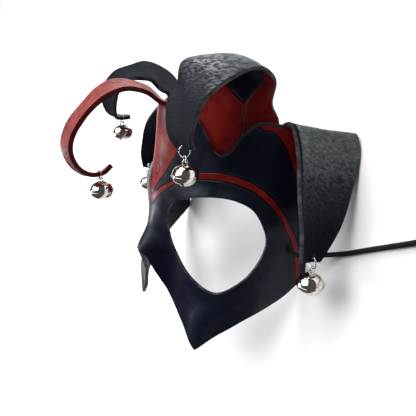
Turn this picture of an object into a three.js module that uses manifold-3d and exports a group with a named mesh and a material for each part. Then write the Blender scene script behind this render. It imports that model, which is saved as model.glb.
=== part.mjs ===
// Leather jester mask: a moulded half mask with five horns, a jingle bell at each tip and a lace at the temple.
// Millimetres. The pieces are shaped upright, in the wearer's frame: x to the wearer's left, y up, z forward from
// the point between the brows. The whole mask is then laid on its back, so that z is up and it rests at z = 0.
import * as THREE from 'three';
import { mergeVertices } from 'three/addons/utils/BufferGeometryUtils.js';
import Module from 'manifold-3d';

const wasm = await Module();
wasm.setup();

// Leather
const LEATHER = 2.8;
const TOUCH_GAP = 0.4;
// Points closer together than this are one point of a mesh
const SAME_POINT = 1e-3;

// Moulded face. A level section turns further round the head the further it is from the centreline: distance
// against turn in degrees, once across the brow and forehead and once across the nose and cheeks.
const BROW_TURN = [[0, 0], [14, 25], [40, 33], [65, 48], [95, 72], [115, 80], [160, 82]];
const CHEEK_TURN = [[0, 0], [14, 8], [40, 26], [65, 50], [95, 74], [115, 80], [160, 82]];
const CHEEK_BELOW = -12;
const BROW_ABOVE = 14;
// Height against depth of the face beside the nose, and of the nose ridge in front of it
const FACE_PROFILE = [[-110, 0], [-80, 1], [-50, -2], [-25, -5], [-8, -4], [5, -1.5], [20, -6], [45, -10], [65, -12]];
const NOSE_RIDGE = [[-60, 19], [-38, 16.4], [-30, 12], [-22, 8], [-8, 4.2], [6, 0], [20, 0], [65, 0]];
const NOSE_WIDTH = 12.5;
// Cheek crease from the eye opening down to the cheek point
const CREASE_HEIGHT = 4;
const CREASE_WIDTH = 10;
const CREASE_RISE = 2;
const CREASE_TOP = [54, -58];
const CHEEK_POINT = [44.5, -106.5];

// Outlines on the face, as distance round from the centreline and height
const EYE_CENTRE = [50, -24];
const EYE_OUTLINE = [
  [13, -11], [17.5, -2.5], [30, 4], [46, 7.2], [62, 6.5], [75, 1], [83, -13], [83, -27], [73, -46], [55, -58.3],
  [40, -54], [26, -43.5], [15.5, -27],
];
const NOSE_BOTTOM = [0, -37.5];
const NOSE_CORNER = [6, -42];
const NOSE_EDGE = [NOSE_CORNER, [13.5, -59], [26.5, -80.5], [37.5, -99], CHEEK_POINT];
const TEMPLE_BOTTOM = [116.5, -51];
const JAW_EDGE = [CHEEK_POINT, [58.5, -90.5], [79, -75], [99.5, -63.3], TEMPLE_BOTTOM];
const FOLD_FRONT = [81, 53];
const FOLD_REAR = [129, 41];
const TEMPLE_EDGE = [TEMPLE_BOTTOM, [114, -25], [117, 8], [123, 29], FOLD_REAR];
const VALLEY = [46.2, 32.8];
const VALLEY_OUTER = [FOLD_FRONT, [73, 54.4], [66, 53.8], [61, 50], [56, 44.5], [51.5, 36.5], VALLEY];
const NECK = [13, 61];
const VALLEY_INNER = [VALLEY, [41.5, 34.8], [36.4, 42], [27, 53.5], [19, 58.5], NECK];

// Centre horn: stations along its middle, as height, depth, half width, roll in degrees and crown
const CENTRE_HORN = [
  [61, -12, 13, 0, 0], [66.5, -4.5, 11.5, -16, 0.5], [71.6, 4.2, 11, -11, 1], [74.4, 18.2, 11, -6, 1],
  [70.4, 30.2, 11, 0, 1], [62.8, 40.2, 10.3, 3, 1], [52, 50.3, 9.4, 2, 1], [41, 54.3, 8.7, -1, 1],
  [30.4, 52, 7.4, -5, 1], [22.8, 44.5, 6.5, -12, 0.5], [21.6, 35, 5.5, -18, 0], [25.5, 28.4, 4.5, -20, 0],
];

// Inner horns: outer and inner edge of each, from where it leaves the back of the face to its tip. They were bent by
// hand, so the right one is lower and hooks further round.
const INNER_LAP = [[23, 71, 20], [22, 74, 34]];
const INNER_LEFT = {
  outerEdge: [
    [61, 53, -56], [60, 65, -50.5], [60, 78, -52], [60, 85, -41], [60, 81.5, -23], [60, 71.5, -5], [59.5, 61, 1.5],
    [58, 52.5, 3], [56, 44.3, 1],
  ],
  innerEdge: [
    [22, 48, -23], [22, 62, -25], [26, 77, -31], [28, 87.5, -32], [28, 87.5, -9.5], [29, 75.5, -5.5], [27, 66, 0.3],
    [29, 48, 1.3], [36, 39, -1.5],
  ],
  crown: [0, -2, -2, -4, -2, 0, 2, 2, 1],
};
const INNER_RIGHT = {
  outerEdge: [
    [61, 53, -56], [60, 66, -54], [60, 76, -43], [60, 82, -27], [60, 80, -16], [60, 76.5, -3], [60, 69, 5],
    [60, 57, 8.5], [59, 48.3, 6], [58, 44.8, 0], [56, 44.3, -9],
  ],
  innerEdge: [
    [22, 48, -23], [25, 62, -27.7], [27, 65.6, -22.5], [28, 72.3, -16], [30, 73.8, -9.5], [33, 73.3, -2.6],
    [37, 67, 4.5], [41, 56, 6.5], [46, 46, 4.5], [49, 44, -1], [50, 44.2, -8],
  ],
  crown: [0, -1, 0, 0, 1, 1.5, 1.5, 1.5, 1.5, 1, 0],
};

// Outer horns: rear and front edges, from the fold at the temple out and down to the tip. The right one bows further
// forward.
const OUTER_LEFT_REAR = [
  [81, 44.5, -101], [85.5, 38, -101], [90, 25, -95.5], [94, 13, -88], [97.5, 3, -81], [101, -8, -71],
  [104, -20.5, -56],
];
const OUTER_RIGHT_REAR = [
  [81, 44.5, -101], [85.5, 38, -101], [90, 25, -95.5], [94, 13, -88], [97.5, 3, -81], [101, -6, -67.5],
  [104, -16.9, -50.8],
];
const OUTER_LEFT_FRONT = [
  [70, 54.2, -56], [76, 47.5, -55.5], [84, 33, -52], [90, 19, -48], [94.5, 8, -46], [99, -6, -44], [101, -18.5, -43],
];
const OUTER_RIGHT_FRONT = [
  [70, 54.2, -56], [81, 46, -49.5], [92, 32.7, -42.2], [98, 23, -40.3], [102, 10, -39], [104, -2, -38],
  [104, -13.8, -39.5],
];
const OUTER_CROWN = [1, 2, 3, 3.5, 3, 2.5, 1.5];

// Bells, as radius, and the wire rings that hang them from the horns
const LARGE_BELL = 8.5;
const SMALL_BELL = 7.5;
const BELL_WALL = 0.8;
const BELL_RIM = 0.05;
// Height of a bell's body against its width
const BELL_SQUAT = 0.82;
const BELL_SLIT = 1.3;
const BELL_LOOP = 1.6;
const BELL_LOOP_SUNK = 0.9;
const BELL_AROUND = 12;
const BELL_ARC = 3;
const BELL_RIM_ANGLE = 84;
// Slits, as shares of the radius: how long they are and how far below the middle their box sits
const SLIT_LENGTH = 1.7;
const SLIT_DROP = 0.7;
const WIRE = 0.4;
const WIRE_GAP = 0.32;
const WIRE_AROUND = 5;
const RING_AROUND = 10;
const LINK_AROUND = 8;
const LARGE_RING = 3.6;
const SMALL_RING = 2.8;
const LINK = 2;
const RING_HOLE = 1.4;
const HOLE_TO_EDGE = 3;
// Where the bells hang: rows of the horns, counted from the root, for the centre and the right inner one, and columns
// at the horn's end, counted from its outer or rear edge, for the others
const CENTRE_RING_ROW = 23;
const INNER_RING_ROW = 22;
const INNER_RING_COLUMN = 4;
const OUTER_LEFT_RING_COLUMN = 2;
const OUTER_RIGHT_RING_COLUMN = 4;

// Lace and its holes at the temples
const LACE = 3.2;
const LACE_HOLE = 2;
const LACE_HOLE_AT = [100.5, -28];
// Route of the loose lace, as the mask lies: sideways and upwards from its hole in the left temple, and height above
// the surface, from just inside the temple out through the hole, down to the surface and along it to its coil
const LACE_ROUTE = [
  [-4.3, 0.2, 18.5], [0, 0, 19.5], [4.1, -0.2, 20.3], [8.6, 0.5, 19.6], [12.6, 2.1, 16.6], [16.1, 3.8, 12],
  [19.9, 5.8, 7.2], [24.6, 8.4, 3.4], [30.6, 11.8, 1.8], [37.1, 15.9, 1.7], [44.1, 20.3, 1.7], [52.1, 25.2, 1.7],
  [60.1, 30.1, 1.7], [69.6, 36, 1.7], [78.9, 41.8, 1.7],
];
const LACE_SIDES = 6;
const LACE_STEPS = 22;
// The coil's outermost turn runs on from the route, and its turns wind inwards from there. Its centre is given from the
// hole too.
const COIL_CENTRE = [101.3, 29.8];
const COIL_OUTER = 22;
const COIL_TURNS = 3.2;
const COIL_PITCH = 3.4;
const COIL_AROUND = 24;

const DEGREE = Math.PI / 180;
const vec = (x, y, z) => new THREE.Vector3(x, y, z);
const DOWN = vec(0, -1, 0);

// Height of a smooth line through the knots [place, height]
function profile(knots, at) {
  const last = knots.length - 1;
  const x = Math.min(Math.max(at, knots[0][0]), knots[last][0]);
  let k = 0;
  while (k < last - 1 && x > knots[k + 1][0]) k += 1;
  const slope = (i) => {
    const a = knots[Math.max(i - 1, 0)];
    const b = knots[Math.min(i + 1, last)];
    return (b[1] - a[1]) / (b[0] - a[0]);
  };
  const span = knots[k + 1][0] - knots[k][0];
  const t = (x - knots[k][0]) / span;
  const t2 = t * t;
  const t3 = t2 * t;
  return (2 * t3 - 3 * t2 + 1) * knots[k][1] + (t3 - 2 * t2 + t) * span * slope(k)
    + (3 * t2 - 2 * t3) * knots[k + 1][1] + (t3 - t2) * span * slope(k + 1);
}

const smoothStep = (t) => {
  const c = Math.min(Math.max(t, 0), 1);
  return c * c * (3 - 2 * c);
};

// Level section of the face, as points [x, z] one millimetre apart along its arc
const SECTION_STEP = 1;
const SECTION_LENGTH = 165;

function levelSection(turnKnots) {
  const points = [[0, 0]];
  for (let s = SECTION_STEP; s <= SECTION_LENGTH; s += SECTION_STEP) {
    const turn = profile(turnKnots, s - SECTION_STEP / 2) * DEGREE;
    const [x, z] = points[points.length - 1];
    points.push([x + SECTION_STEP * Math.cos(turn), z - SECTION_STEP * Math.sin(turn)]);
  }
  return (u) => {
    const k = Math.min(Math.floor(u / SECTION_STEP), points.length - 2);
    const f = u / SECTION_STEP - k;
    return [points[k][0] * (1 - f) + points[k + 1][0] * f, points[k][1] * (1 - f) + points[k + 1][1] * f];
  };
}

const browSection = levelSection(BROW_TURN);
const cheekSection = levelSection(CHEEK_TURN);

// Point of the face at distance u round from the centreline and height v
function facePoint(u, v) {
  const brow = browSection(Math.abs(u));
  const cheek = cheekSection(Math.abs(u));
  const mix = smoothStep((v - CHEEK_BELOW) / (BROW_ABOVE - CHEEK_BELOW));
  const x = brow[0] * mix + cheek[0] * (1 - mix);
  const wrap = brow[1] * mix + cheek[1] * (1 - mix);
  const ridge = profile(NOSE_RIDGE, v) * Math.exp(-((x / NOSE_WIDTH) ** 2));
  const drop = (CREASE_TOP[1] - v) / (CREASE_TOP[1] - CHEEK_POINT[1]);
  const creaseAt = CREASE_TOP[0] + (CHEEK_POINT[0] - CREASE_TOP[0]) * Math.max(drop, 0);
  const fromCrease = (Math.abs(u) - creaseAt) / CREASE_WIDTH;
  const crease = CREASE_HEIGHT * smoothStep(drop * CREASE_RISE) * Math.exp(-(fromCrease ** 2));
  return vec(Math.sign(u) * x, v, wrap + profile(FACE_PROFILE, v) + ridge + crease);
}

// Outward normal of the face
const NORMAL_STEP = 0.5;

function faceNormal(u, v) {
  const across = facePoint(u + NORMAL_STEP, v).sub(facePoint(u - NORMAL_STEP, v));
  const up = facePoint(u, v + NORMAL_STEP).sub(facePoint(u, v - NORMAL_STEP));
  return across.cross(up).normalize();
}

// Points of an outline on the face, evenly spaced on a smooth curve through the given points
function outline(points, pieces, closed = false) {
  const curve = new THREE.CatmullRomCurve3(points.map(([u, v]) => vec(u, v, 0)), closed);
  return curve.getSpacedPoints(pieces).map((p) => [p.x, p.y]);
}

// Mesh sheet: a list of triangles with corner positions, before it gets its thickness
class Sheet {
  constructor() {
    this.corners = [];
  }

  triangle(a, b, c) {
    this.corners.push(a, b, c);
  }

  // Grid of rows of points, each facing the side from which the rows run up and the points run right
  grid(rows) {
    for (let j = 0; j < rows.length - 1; j += 1) {
      for (let i = 0; i < rows[j].length - 1; i += 1) {
        this.triangle(rows[j][i], rows[j][i + 1], rows[j + 1][i + 1]);
        this.triangle(rows[j][i], rows[j + 1][i + 1], rows[j + 1][i]);
      }
    }
  }

  mirrored() {
    const copy = new Sheet();
    for (let i = 0; i < this.corners.length; i += 3) {
      const [a, b, c] = this.corners.slice(i, i + 3).map((p) => vec(-p.x, p.y, p.z));
      copy.triangle(a, c, b);
    }
    return copy;
  }

  add(other) {
    this.corners.push(...other.corners);
    return this;
  }

  // Closed solid with the sheet as its middle
  thicken(thickness) {
    const flat = new THREE.BufferGeometry().setFromPoints(this.corners);
    const merged = mergeVertices(flat, SAME_POINT);
    merged.computeVertexNormals();
    const index = merged.index.array;
    const place = merged.attributes.position;
    const normal = merged.attributes.normal;
    const count = place.count;
    const points = [];
    for (const side of [1, -1]) {
      for (let i = 0; i < count; i += 1) {
        const n = vec(normal.getX(i), normal.getY(i), normal.getZ(i)).normalize();
        points.push(vec(place.getX(i), place.getY(i), place.getZ(i)).addScaledVector(n, side * thickness / 2));
      }
    }
    const faces = [];
    const edges = new Map();
    for (let i = 0; i < index.length; i += 3) {
      const [a, b, c] = [index[i], index[i + 1], index[i + 2]];
      faces.push(a, b, c, a + count, c + count, b + count);
      for (const [p, q] of [[a, b], [b, c], [c, a]]) {
        const back = `${q},${p}`;
        if (edges.has(back)) edges.delete(back);
        else edges.set(`${p},${q}`, [p, q]);
      }
    }
    for (const [p, q] of edges.values()) faces.push(q, p, p + count, q, p + count, q + count);
    const solid = new THREE.BufferGeometry().setFromPoints(points);
    solid.setIndex(faces);
    return solid;
  }
}

// Booleans
function toSolid(geometry) {
  const bare = new THREE.BufferGeometry();
  bare.setAttribute('position', geometry.attributes.position);
  if (geometry.index) bare.setIndex(geometry.index);
  const merged = mergeVertices(bare, SAME_POINT);
  return new wasm.Manifold(new wasm.Mesh({
    numProp: 3,
    vertProperties: new Float32Array(merged.attributes.position.array),
    triVerts: new Uint32Array(merged.index.array),
  }));
}

function toGeometry(solid) {
  const mesh = solid.getMesh();
  const geometry = new THREE.BufferGeometry();
  geometry.setAttribute('position', new THREE.BufferAttribute(mesh.vertProperties, 3));
  geometry.setIndex(new THREE.BufferAttribute(mesh.triVerts, 1));
  return geometry;
}

// Face, left half: a ring of spokes from the eye opening out to the edge of the leather
const NECK_PARTS = 3;
const FOLD_PARTS = 6;
const TEMPLE_PARTS = 9;
const VALLEY_OUTER_PARTS = 8;
const VALLEY_INNER_PARTS = 7;
const MIDDLE_PARTS = 12;
const NOSE_PARTS = 9;
const JAW_PARTS = 11;
const RINGS = 4;
const EYE_DIRECTIONS = 360;

function eyeRadius() {
  const loop = outline(EYE_OUTLINE, EYE_DIRECTIONS, true).map(([u, v]) => {
    const du = u - EYE_CENTRE[0];
    const dv = v - EYE_CENTRE[1];
    return [Math.atan2(dv, du), Math.hypot(du, dv)];
  });
  loop.sort((a, b) => a[0] - b[0]);
  loop.unshift([loop[loop.length - 1][0] - 2 * Math.PI, loop[loop.length - 1][1]]);
  loop.push([loop[1][0] + 2 * Math.PI, loop[1][1]]);
  return (angle) => {
    let k = 0;
    while (loop[k + 1][0] < angle) k += 1;
    const f = (angle - loop[k][0]) / (loop[k + 1][0] - loop[k][0]);
    return loop[k][1] * (1 - f) + loop[k + 1][1] * f;
  };
}

const straight = (a, b, parts) => Array.from({ length: parts + 1 }, (_, i) => [
  a[0] + (b[0] - a[0]) * i / parts,
  a[1] + (b[1] - a[1]) * i / parts,
]);

const foldLine = straight(FOLD_REAR, FOLD_FRONT, FOLD_PARTS);
const neckLine = straight(NECK, [0, NECK[1]], NECK_PARTS);

function faceHalf() {
  const edge = [
    ...outline(TEMPLE_EDGE, TEMPLE_PARTS).slice(0, -1),
    ...foldLine.slice(0, -1),
    ...outline(VALLEY_OUTER, VALLEY_OUTER_PARTS).slice(0, -1),
    ...outline(VALLEY_INNER, VALLEY_INNER_PARTS).slice(0, -1),
    ...neckLine.slice(0, -1),
    ...straight([0, NECK[1]], NOSE_BOTTOM, MIDDLE_PARTS).slice(0, -1),
    ...straight(NOSE_BOTTOM, NOSE_CORNER, 1).slice(0, -1),
    ...outline(NOSE_EDGE, NOSE_PARTS).slice(0, -1),
    ...outline(JAW_EDGE, JAW_PARTS),
  ];
  const eye = eyeRadius();
  const spokes = edge.map(([u, v]) => {
    const angle = Math.atan2(v - EYE_CENTRE[1], u - EYE_CENTRE[0]);
    const r = eye(angle);
    const start = [EYE_CENTRE[0] + r * Math.cos(angle), EYE_CENTRE[1] + r * Math.sin(angle)];
    return straight(start, [u, v], RINGS).map(([a, b]) => facePoint(a, b));
  });
  const sheet = new Sheet();
  sheet.grid(spokes);
  return sheet;
}

// Smooth curve through edge points, as a function of the way along from 0 to 1
function rail(points) {
  const curve = new THREE.CatmullRomCurve3(points);
  return (t) => curve.getPoint(t);
}

// Steps across and along the horns, the share of a horn by which its direction is read ahead and back, and how fast the
// bow of its root fades out
const HORN_ACROSS = 6;
const CENTRE_STEPS = 26;
const INNER_STEPS = 22;
const OUTER_STEPS = 16;
const READ_AHEAD = 0.02;
const ROOT_FADE = 3;

// Horn between two edges: rows of points from edge to edge that leave the root row and reach the tip
function hornRows(root, edgeA, edgeB, crown, steps) {
  const a = rail([root[0], ...edgeA.map((p) => vec(...p))]);
  const b = rail([root[root.length - 1], ...edgeB.map((p) => vec(...p))]);
  const crownKnots = [0, ...crown].map((c, i) => [i / crown.length, c]);
  const rows = [root];
  for (let j = 1; j <= steps; j += 1) {
    const t = j / steps;
    const back = t - READ_AHEAD;
    const ahead = Math.min(t + READ_AHEAD, 1);
    const along = a(ahead).add(b(ahead)).sub(a(back)).sub(b(back));
    const across = b(t).sub(a(t));
    const out = along.clone().cross(across).normalize();
    const fade = 1 - smoothStep(t * ROOT_FADE);
    rows.push(root.map((start, i) => {
      const f = i / (root.length - 1);
      const p = a(t).lerp(b(t), f);
      const bow = start.clone().sub(root[0].clone().lerp(root[root.length - 1], f));
      return p.addScaledVector(bow, fade).addScaledVector(out, profile(crownKnots, t) * 4 * f * (1 - f));
    }));
  }
  return rows;
}

function sheetOf(rows) {
  const sheet = new Sheet();
  sheet.grid(rows.map((row) => [...row].reverse()));
  return sheet;
}

function outerHorn(rearEdge, frontEdge) {
  const root = foldLine.map(([u, v]) => facePoint(u, v));
  return hornRows(root, rearEdge, frontEdge, OUTER_CROWN, OUTER_STEPS);
}

function centreHorn() {
  const place = (column) => CENTRE_HORN.map((station, i) => [i / (CENTRE_HORN.length - 1), station[column]]);
  const middle = new THREE.CatmullRomCurve3(CENTRE_HORN.map(([y, z]) => vec(0, y, z)));
  const root = [...neckLine].reverse().map(([u, v]) => facePoint(u, v));
  const rows = [[...root.slice(1).reverse().map((p) => vec(-p.x, p.y, p.z)), ...root]];
  for (let j = 1; j <= CENTRE_STEPS; j += 1) {
    const t = j / CENTRE_STEPS;
    const along = middle.getTangent(t);
    const roll = profile(place(3), t) * DEGREE;
    const width = profile(place(2), t);
    const crown = profile(place(4), t);
    const out = vec(1, 0, 0).cross(along).normalize();
    const side = vec(1, 0, 0).multiplyScalar(Math.cos(roll)).addScaledVector(out, -Math.sin(roll));
    const lift = out.clone().multiplyScalar(Math.cos(roll)).addScaledVector(vec(1, 0, 0), Math.sin(roll));
    const row = [];
    for (let i = -NECK_PARTS; i <= NECK_PARTS; i += 1) {
      const f = i / NECK_PARTS;
      row.push(middle.getPoint(t).addScaledVector(side, width * f).addScaledVector(lift, crown * (1 - f * f)));
    }
    rows.push(row);
  }
  return rows;
}

// Inner horn: its foot lies on the back of the face, and the rest stands free
function innerHorn({ outerEdge, innerEdge, crown }) {
  const lap = (f) => {
    const [from, to, v] = INNER_LAP[0].map((value, i) => value * (1 - f) + INNER_LAP[1][i] * f);
    return straight([to, v], [from, v], HORN_ACROSS)
      .map(([a, b]) => facePoint(a, b).addScaledVector(faceNormal(a, b), -(LEATHER + TOUCH_GAP)));
  };
  return [lap(0), lap(0.5), ...hornRows(lap(1), outerEdge, innerEdge, crown, INNER_STEPS)];
}

// Ring of wire round a point, with its axis along the given direction
function wireRing(centre, axis, radius, around) {
  const ring = new THREE.TorusGeometry(radius, WIRE, WIRE_AROUND, around);
  ring.applyQuaternion(new THREE.Quaternion().setFromUnitVectors(vec(0, 0, 1), axis));
  return ring.translate(centre.x, centre.y, centre.z);
}

// Round hole through leather
const HOLE_AROUND = 12;
const CUTTER_LENGTH = 4 * LEATHER;

function hole(centre, axis, radius) {
  const cutter = new THREE.CylinderGeometry(radius, radius, CUTTER_LENGTH, HOLE_AROUND);
  cutter.applyQuaternion(new THREE.Quaternion().setFromUnitVectors(vec(0, 1, 0), axis));
  return toSolid(cutter.translate(centre.x, centre.y, centre.z));
}

// Jingle bell round the origin: a shell of two halves with a rim between them, a loop on top and two crossed slits
// below
function bell(radius, loopAxis) {
  const side = radius * (1 - BELL_RIM);
  const half = radius * BELL_RIM;
  const arc = (r, from, to, parts) => Array.from({ length: parts + 1 }, (_, i) => {
    const degrees = from + (to - from) * i / parts;
    const out = degrees % 180 ? Math.sin(degrees * DEGREE) * r : 0;
    return new THREE.Vector2(out, Math.cos(degrees * DEGREE) * r);
  });
  const rim = [new THREE.Vector2(radius, -half), new THREE.Vector2(radius, half)];
  const outside = [
    ...arc(side, 180, 180 - BELL_RIM_ANGLE, BELL_ARC), ...rim, ...arc(side, BELL_RIM_ANGLE, 0, BELL_ARC),
  ];
  const turned = (points) => toSolid(new THREE.LatheGeometry(points, BELL_AROUND));
  let shell = turned(outside).subtract(turned(arc(side - BELL_WALL, 180, 0, BELL_ARC + 1)));
  for (const turn of [45, 135]) {
    const slit = new THREE.BoxGeometry(SLIT_LENGTH * side, radius, BELL_SLIT).translate(0, -SLIT_DROP * radius, 0);
    shell = shell.subtract(toSolid(slit.rotateY(turn * DEGREE)));
  }
  const loop = toSolid(wireRing(vec(0, side * BELL_SQUAT + BELL_LOOP_SUNK, 0), loopAxis, BELL_LOOP, LINK_AROUND));
  return toGeometry(shell.scale([1, BELL_SQUAT, 1]).add(loop));
}

// What hangs from one horn: the hole for its ring near the edge of the leather, the ring, a link where there is one,
// and the bell
function hanging(name, { edge, toEdge, normal }, bellRadius, ringRadius, hasLink) {
  const strap = HOLE_TO_EDGE - RING_HOLE;
  const strapMiddle = edge.clone().addScaledVector(toEdge, -strap / 2);
  const ringAxis = toEdge.clone().cross(normal).setY(0).normalize();
  const across = ringAxis.clone().cross(DOWN).normalize();
  const inner = ringRadius - WIRE - WIRE_GAP;
  const drops = [1, -1].flatMap((s) => [1, -1].map((t) => {
    const corner = toEdge.clone().multiplyScalar(s * strap / 2).addScaledVector(normal, t * LEATHER / 2);
    return Math.sqrt(inner ** 2 - corner.dot(across) ** 2) + corner.dot(DOWN);
  }));
  const ringCentre = strapMiddle.addScaledVector(DOWN, Math.min(...drops));
  const pieces = [[`tip_ring_${name}`, wireRing(ringCentre, ringAxis, ringRadius, RING_AROUND)]];
  let carrier = ringCentre.clone().addScaledVector(DOWN, ringRadius);
  let loopAxis = across;
  if (hasLink) {
    const linkCentre = carrier.clone().addScaledVector(DOWN, LINK - 2 * WIRE - WIRE_GAP);
    pieces.push([`bell_link_${name}`, wireRing(linkCentre, across, LINK, LINK_AROUND)]);
    carrier = linkCentre.addScaledVector(DOWN, LINK);
    loopAxis = ringAxis;
  }
  const hang = BELL_LOOP - 2 * WIRE - WIRE_GAP + bellRadius * (1 - BELL_RIM) * BELL_SQUAT + BELL_LOOP_SUNK;
  const bellCentre = carrier.addScaledVector(DOWN, hang);
  pieces.push([`bell_${name}`, bell(bellRadius, loopAxis).translate(bellCentre.x, bellCentre.y, bellCentre.z)]);
  return { cutter: hole(edge.clone().addScaledVector(toEdge, -HOLE_TO_EDGE), normal, RING_HOLE), pieces };
}

// Where a ring goes at a column of a horn's end
function atEnd(rows, column) {
  const [before, end] = [rows[rows.length - 2], rows[rows.length - 1]];
  const across = end[HORN_ACROSS].clone().sub(end[0]).normalize();
  const toEdge = end[column].clone().sub(before[column]);
  toEdge.addScaledVector(across, -toEdge.dot(across)).normalize();
  return { edge: end[column], toEdge, normal: across.cross(toEdge) };
}

// Where a ring goes at the last edge of a horn's row
function atSide(rows, j) {
  const [middle, edge] = [rows[j][HORN_ACROSS / 2], rows[j][HORN_ACROSS]];
  const toEdge = edge.clone().sub(middle).normalize();
  const along = rows[j + 1][HORN_ACROSS].clone().sub(rows[j - 1][HORN_ACROSS]);
  return { edge, toEdge, normal: along.cross(toEdge).normalize() };
}

const flip = (p) => vec(-p.x, p.y, p.z);
const flipPlace = ({ edge, toEdge, normal }) => ({ edge: flip(edge), toEdge: flip(toEdge), normal: flip(normal) });

const BLACK_LEATHER = { color: 0x14161f, roughness: 0.5, metalness: 0 };
const RED_LEATHER = { color: 0x6b1016, roughness: 0.5, metalness: 0 };
const NICKEL = { color: 0xc8c4bc, roughness: 0.2, metalness: 1 };
const BLACK_SUEDE = { color: 0x15130f, roughness: 0.95, metalness: 0 };

function mesh(name, geometry, finish) {
  const made = new THREE.Mesh(geometry, new THREE.MeshStandardMaterial(finish));
  made.name = name;
  return made;
}

const outerLeft = outerHorn(OUTER_LEFT_REAR, OUTER_LEFT_FRONT);
const outerRight = outerHorn(OUTER_RIGHT_REAR, OUTER_RIGHT_FRONT);
const centre = centreHorn();
const innerLeft = innerHorn(INNER_LEFT);
const innerRight = innerHorn(INNER_RIGHT);

const hangings = {
  centre: hanging('centre', atSide(centre, CENTRE_RING_ROW), SMALL_BELL, SMALL_RING, false),
  innerLeft: hanging('inner_left', atEnd(innerLeft, INNER_RING_COLUMN), LARGE_BELL, LARGE_RING, true),
  innerRight: hanging('inner_right', flipPlace(atSide(innerRight, INNER_RING_ROW)), SMALL_BELL, SMALL_RING, false),
  outerLeft: hanging('outer_left', atEnd(outerLeft, OUTER_LEFT_RING_COLUMN), LARGE_BELL, LARGE_RING, true),
  outerRight: hanging('outer_right', flipPlace(atEnd(outerRight, OUTER_RIGHT_RING_COLUMN)), LARGE_BELL, LARGE_RING, true),
};

const cut = (sheet, cutters) => toGeometry(
  cutters.reduce((solid, cutter) => solid.subtract(cutter), toSolid(sheet.thicken(LEATHER))));

const face = faceHalf();
const frontSheet = new Sheet();
frontSheet.grid(centre);
frontSheet.add(face).add(face.mirrored()).add(sheetOf(outerLeft)).add(sheetOf(outerRight).mirrored());
const laceHoles = [1, -1].map((s) => {
  const at = facePoint(s * LACE_HOLE_AT[0], LACE_HOLE_AT[1]);
  return hole(at, faceNormal(s * LACE_HOLE_AT[0], LACE_HOLE_AT[1]), LACE_HOLE);
});
const front = cut(frontSheet, [
  ...laceHoles, hangings.centre.cutter, hangings.outerLeft.cutter, hangings.outerRight.cutter,
]);

const upright = new THREE.Group();
upright.add(mesh('mask_front', front, BLACK_LEATHER));
upright.add(mesh('inner_horn_left', cut(sheetOf(innerLeft), [hangings.innerLeft.cutter]), RED_LEATHER));
upright.add(mesh('inner_horn_right', cut(sheetOf(innerRight).mirrored(), [hangings.innerRight.cutter]), RED_LEATHER));
for (const { pieces } of Object.values(hangings)) {
  for (const [name, geometry] of pieces) upright.add(mesh(name, geometry, NICKEL));
}

// The loose mask lies on its back, on the outer horns' rear edges and the temples' lower corners: the tilt at which the
// lowest point passes from one to the other.
const FLATTEST = -10;
const STEEPEST = 40;
const HALVINGS = 40;

function cornersOf(group) {
  return group.children.flatMap(({ geometry }) => {
    const place = geometry.attributes.position;
    return Array.from({ length: place.count }, (_, i) => new THREE.Vector3().fromBufferAttribute(place, i));
  });
}

function restingTilt(points) {
  const middle = new THREE.Box3().setFromPoints(points).getCenter(new THREE.Vector3());
  const rests = (tilt) => {
    const turned = new THREE.Matrix4().makeRotationX(tilt);
    const lowest = points.reduce((low, p) => {
      const q = p.clone().applyMatrix4(turned);
      return low && low.z < q.z ? low : q;
    }, null);
    return lowest.y > middle.clone().applyMatrix4(turned).y;
  };
  let [less, more] = [FLATTEST * DEGREE, STEEPEST * DEGREE];
  for (let i = 0; i < HALVINGS; i += 1) {
    const tilt = (less + more) / 2;
    if (rests(tilt)) less = tilt;
    else more = tilt;
  }
  return less;
}

const points = cornersOf(upright);
upright.rotation.x = restingTilt(points);
upright.updateMatrix();
const laid = new THREE.Box3().setFromPoints(points.map((p) => p.applyMatrix4(upright.matrix)));
upright.position.set(-(laid.min.x + laid.max.x) / 2, -(laid.min.y + laid.max.y) / 2, -laid.min.z);
upright.updateMatrix();
const laceHole = facePoint(...LACE_HOLE_AT).applyMatrix4(upright.matrix);

function laceRun() {
  const section = new THREE.Shape(Array.from({ length: LACE_SIDES }, (_, i) => {
    const angle = 2 * Math.PI * i / LACE_SIDES;
    return new THREE.Vector2(Math.cos(angle), Math.sin(angle)).multiplyScalar(LACE / 2);
  }));
  const extrudePath = new THREE.CatmullRomCurve3(LACE_ROUTE.map(([x, y, z]) => vec(laceHole.x + x, laceHole.y + y, z)));
  return new THREE.ExtrudeGeometry(section, { steps: LACE_STEPS, extrudePath });
}

function laceCoil() {
  const outer = COIL_OUTER + COIL_PITCH / 2;
  const inner = COIL_OUTER - COIL_TURNS * COIL_PITCH - COIL_PITCH / 2;
  const corners = [[inner, 0], [outer, 0], [outer, COIL_PITCH], [inner, COIL_PITCH], [inner, 0]];
  const ring = new THREE.LatheGeometry(corners.map(([r, z]) => new THREE.Vector2(r, z)), COIL_AROUND);
  return ring.rotateX(90 * DEGREE).translate(laceHole.x + COIL_CENTRE[0], laceHole.y + COIL_CENTRE[1], 0);
}

const mask = new THREE.Group();
mask.add(upright);
mask.add(mesh('lace_run', laceRun(), BLACK_SUEDE));
mask.add(mesh('lace_coil', laceCoil(), BLACK_SUEDE));

export default mask;
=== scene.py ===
"""Leather jester mask lying on its back: moulded face, curled horns, nickel jingle bells and a suede lace.

The leather is shaped upright, in the wearer's frame, in millimetres: x to the wearer's left, y up and z
forward from the point between the brows. It is then turned and moved to lie on its back, in metres.
"""
import logging
import math
from dataclasses import dataclass, field
from enum import Enum
from functools import cached_property
from typing import Sequence

import bpy
import numpy as np
from mathutils import Matrix, Vector, noise


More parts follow.
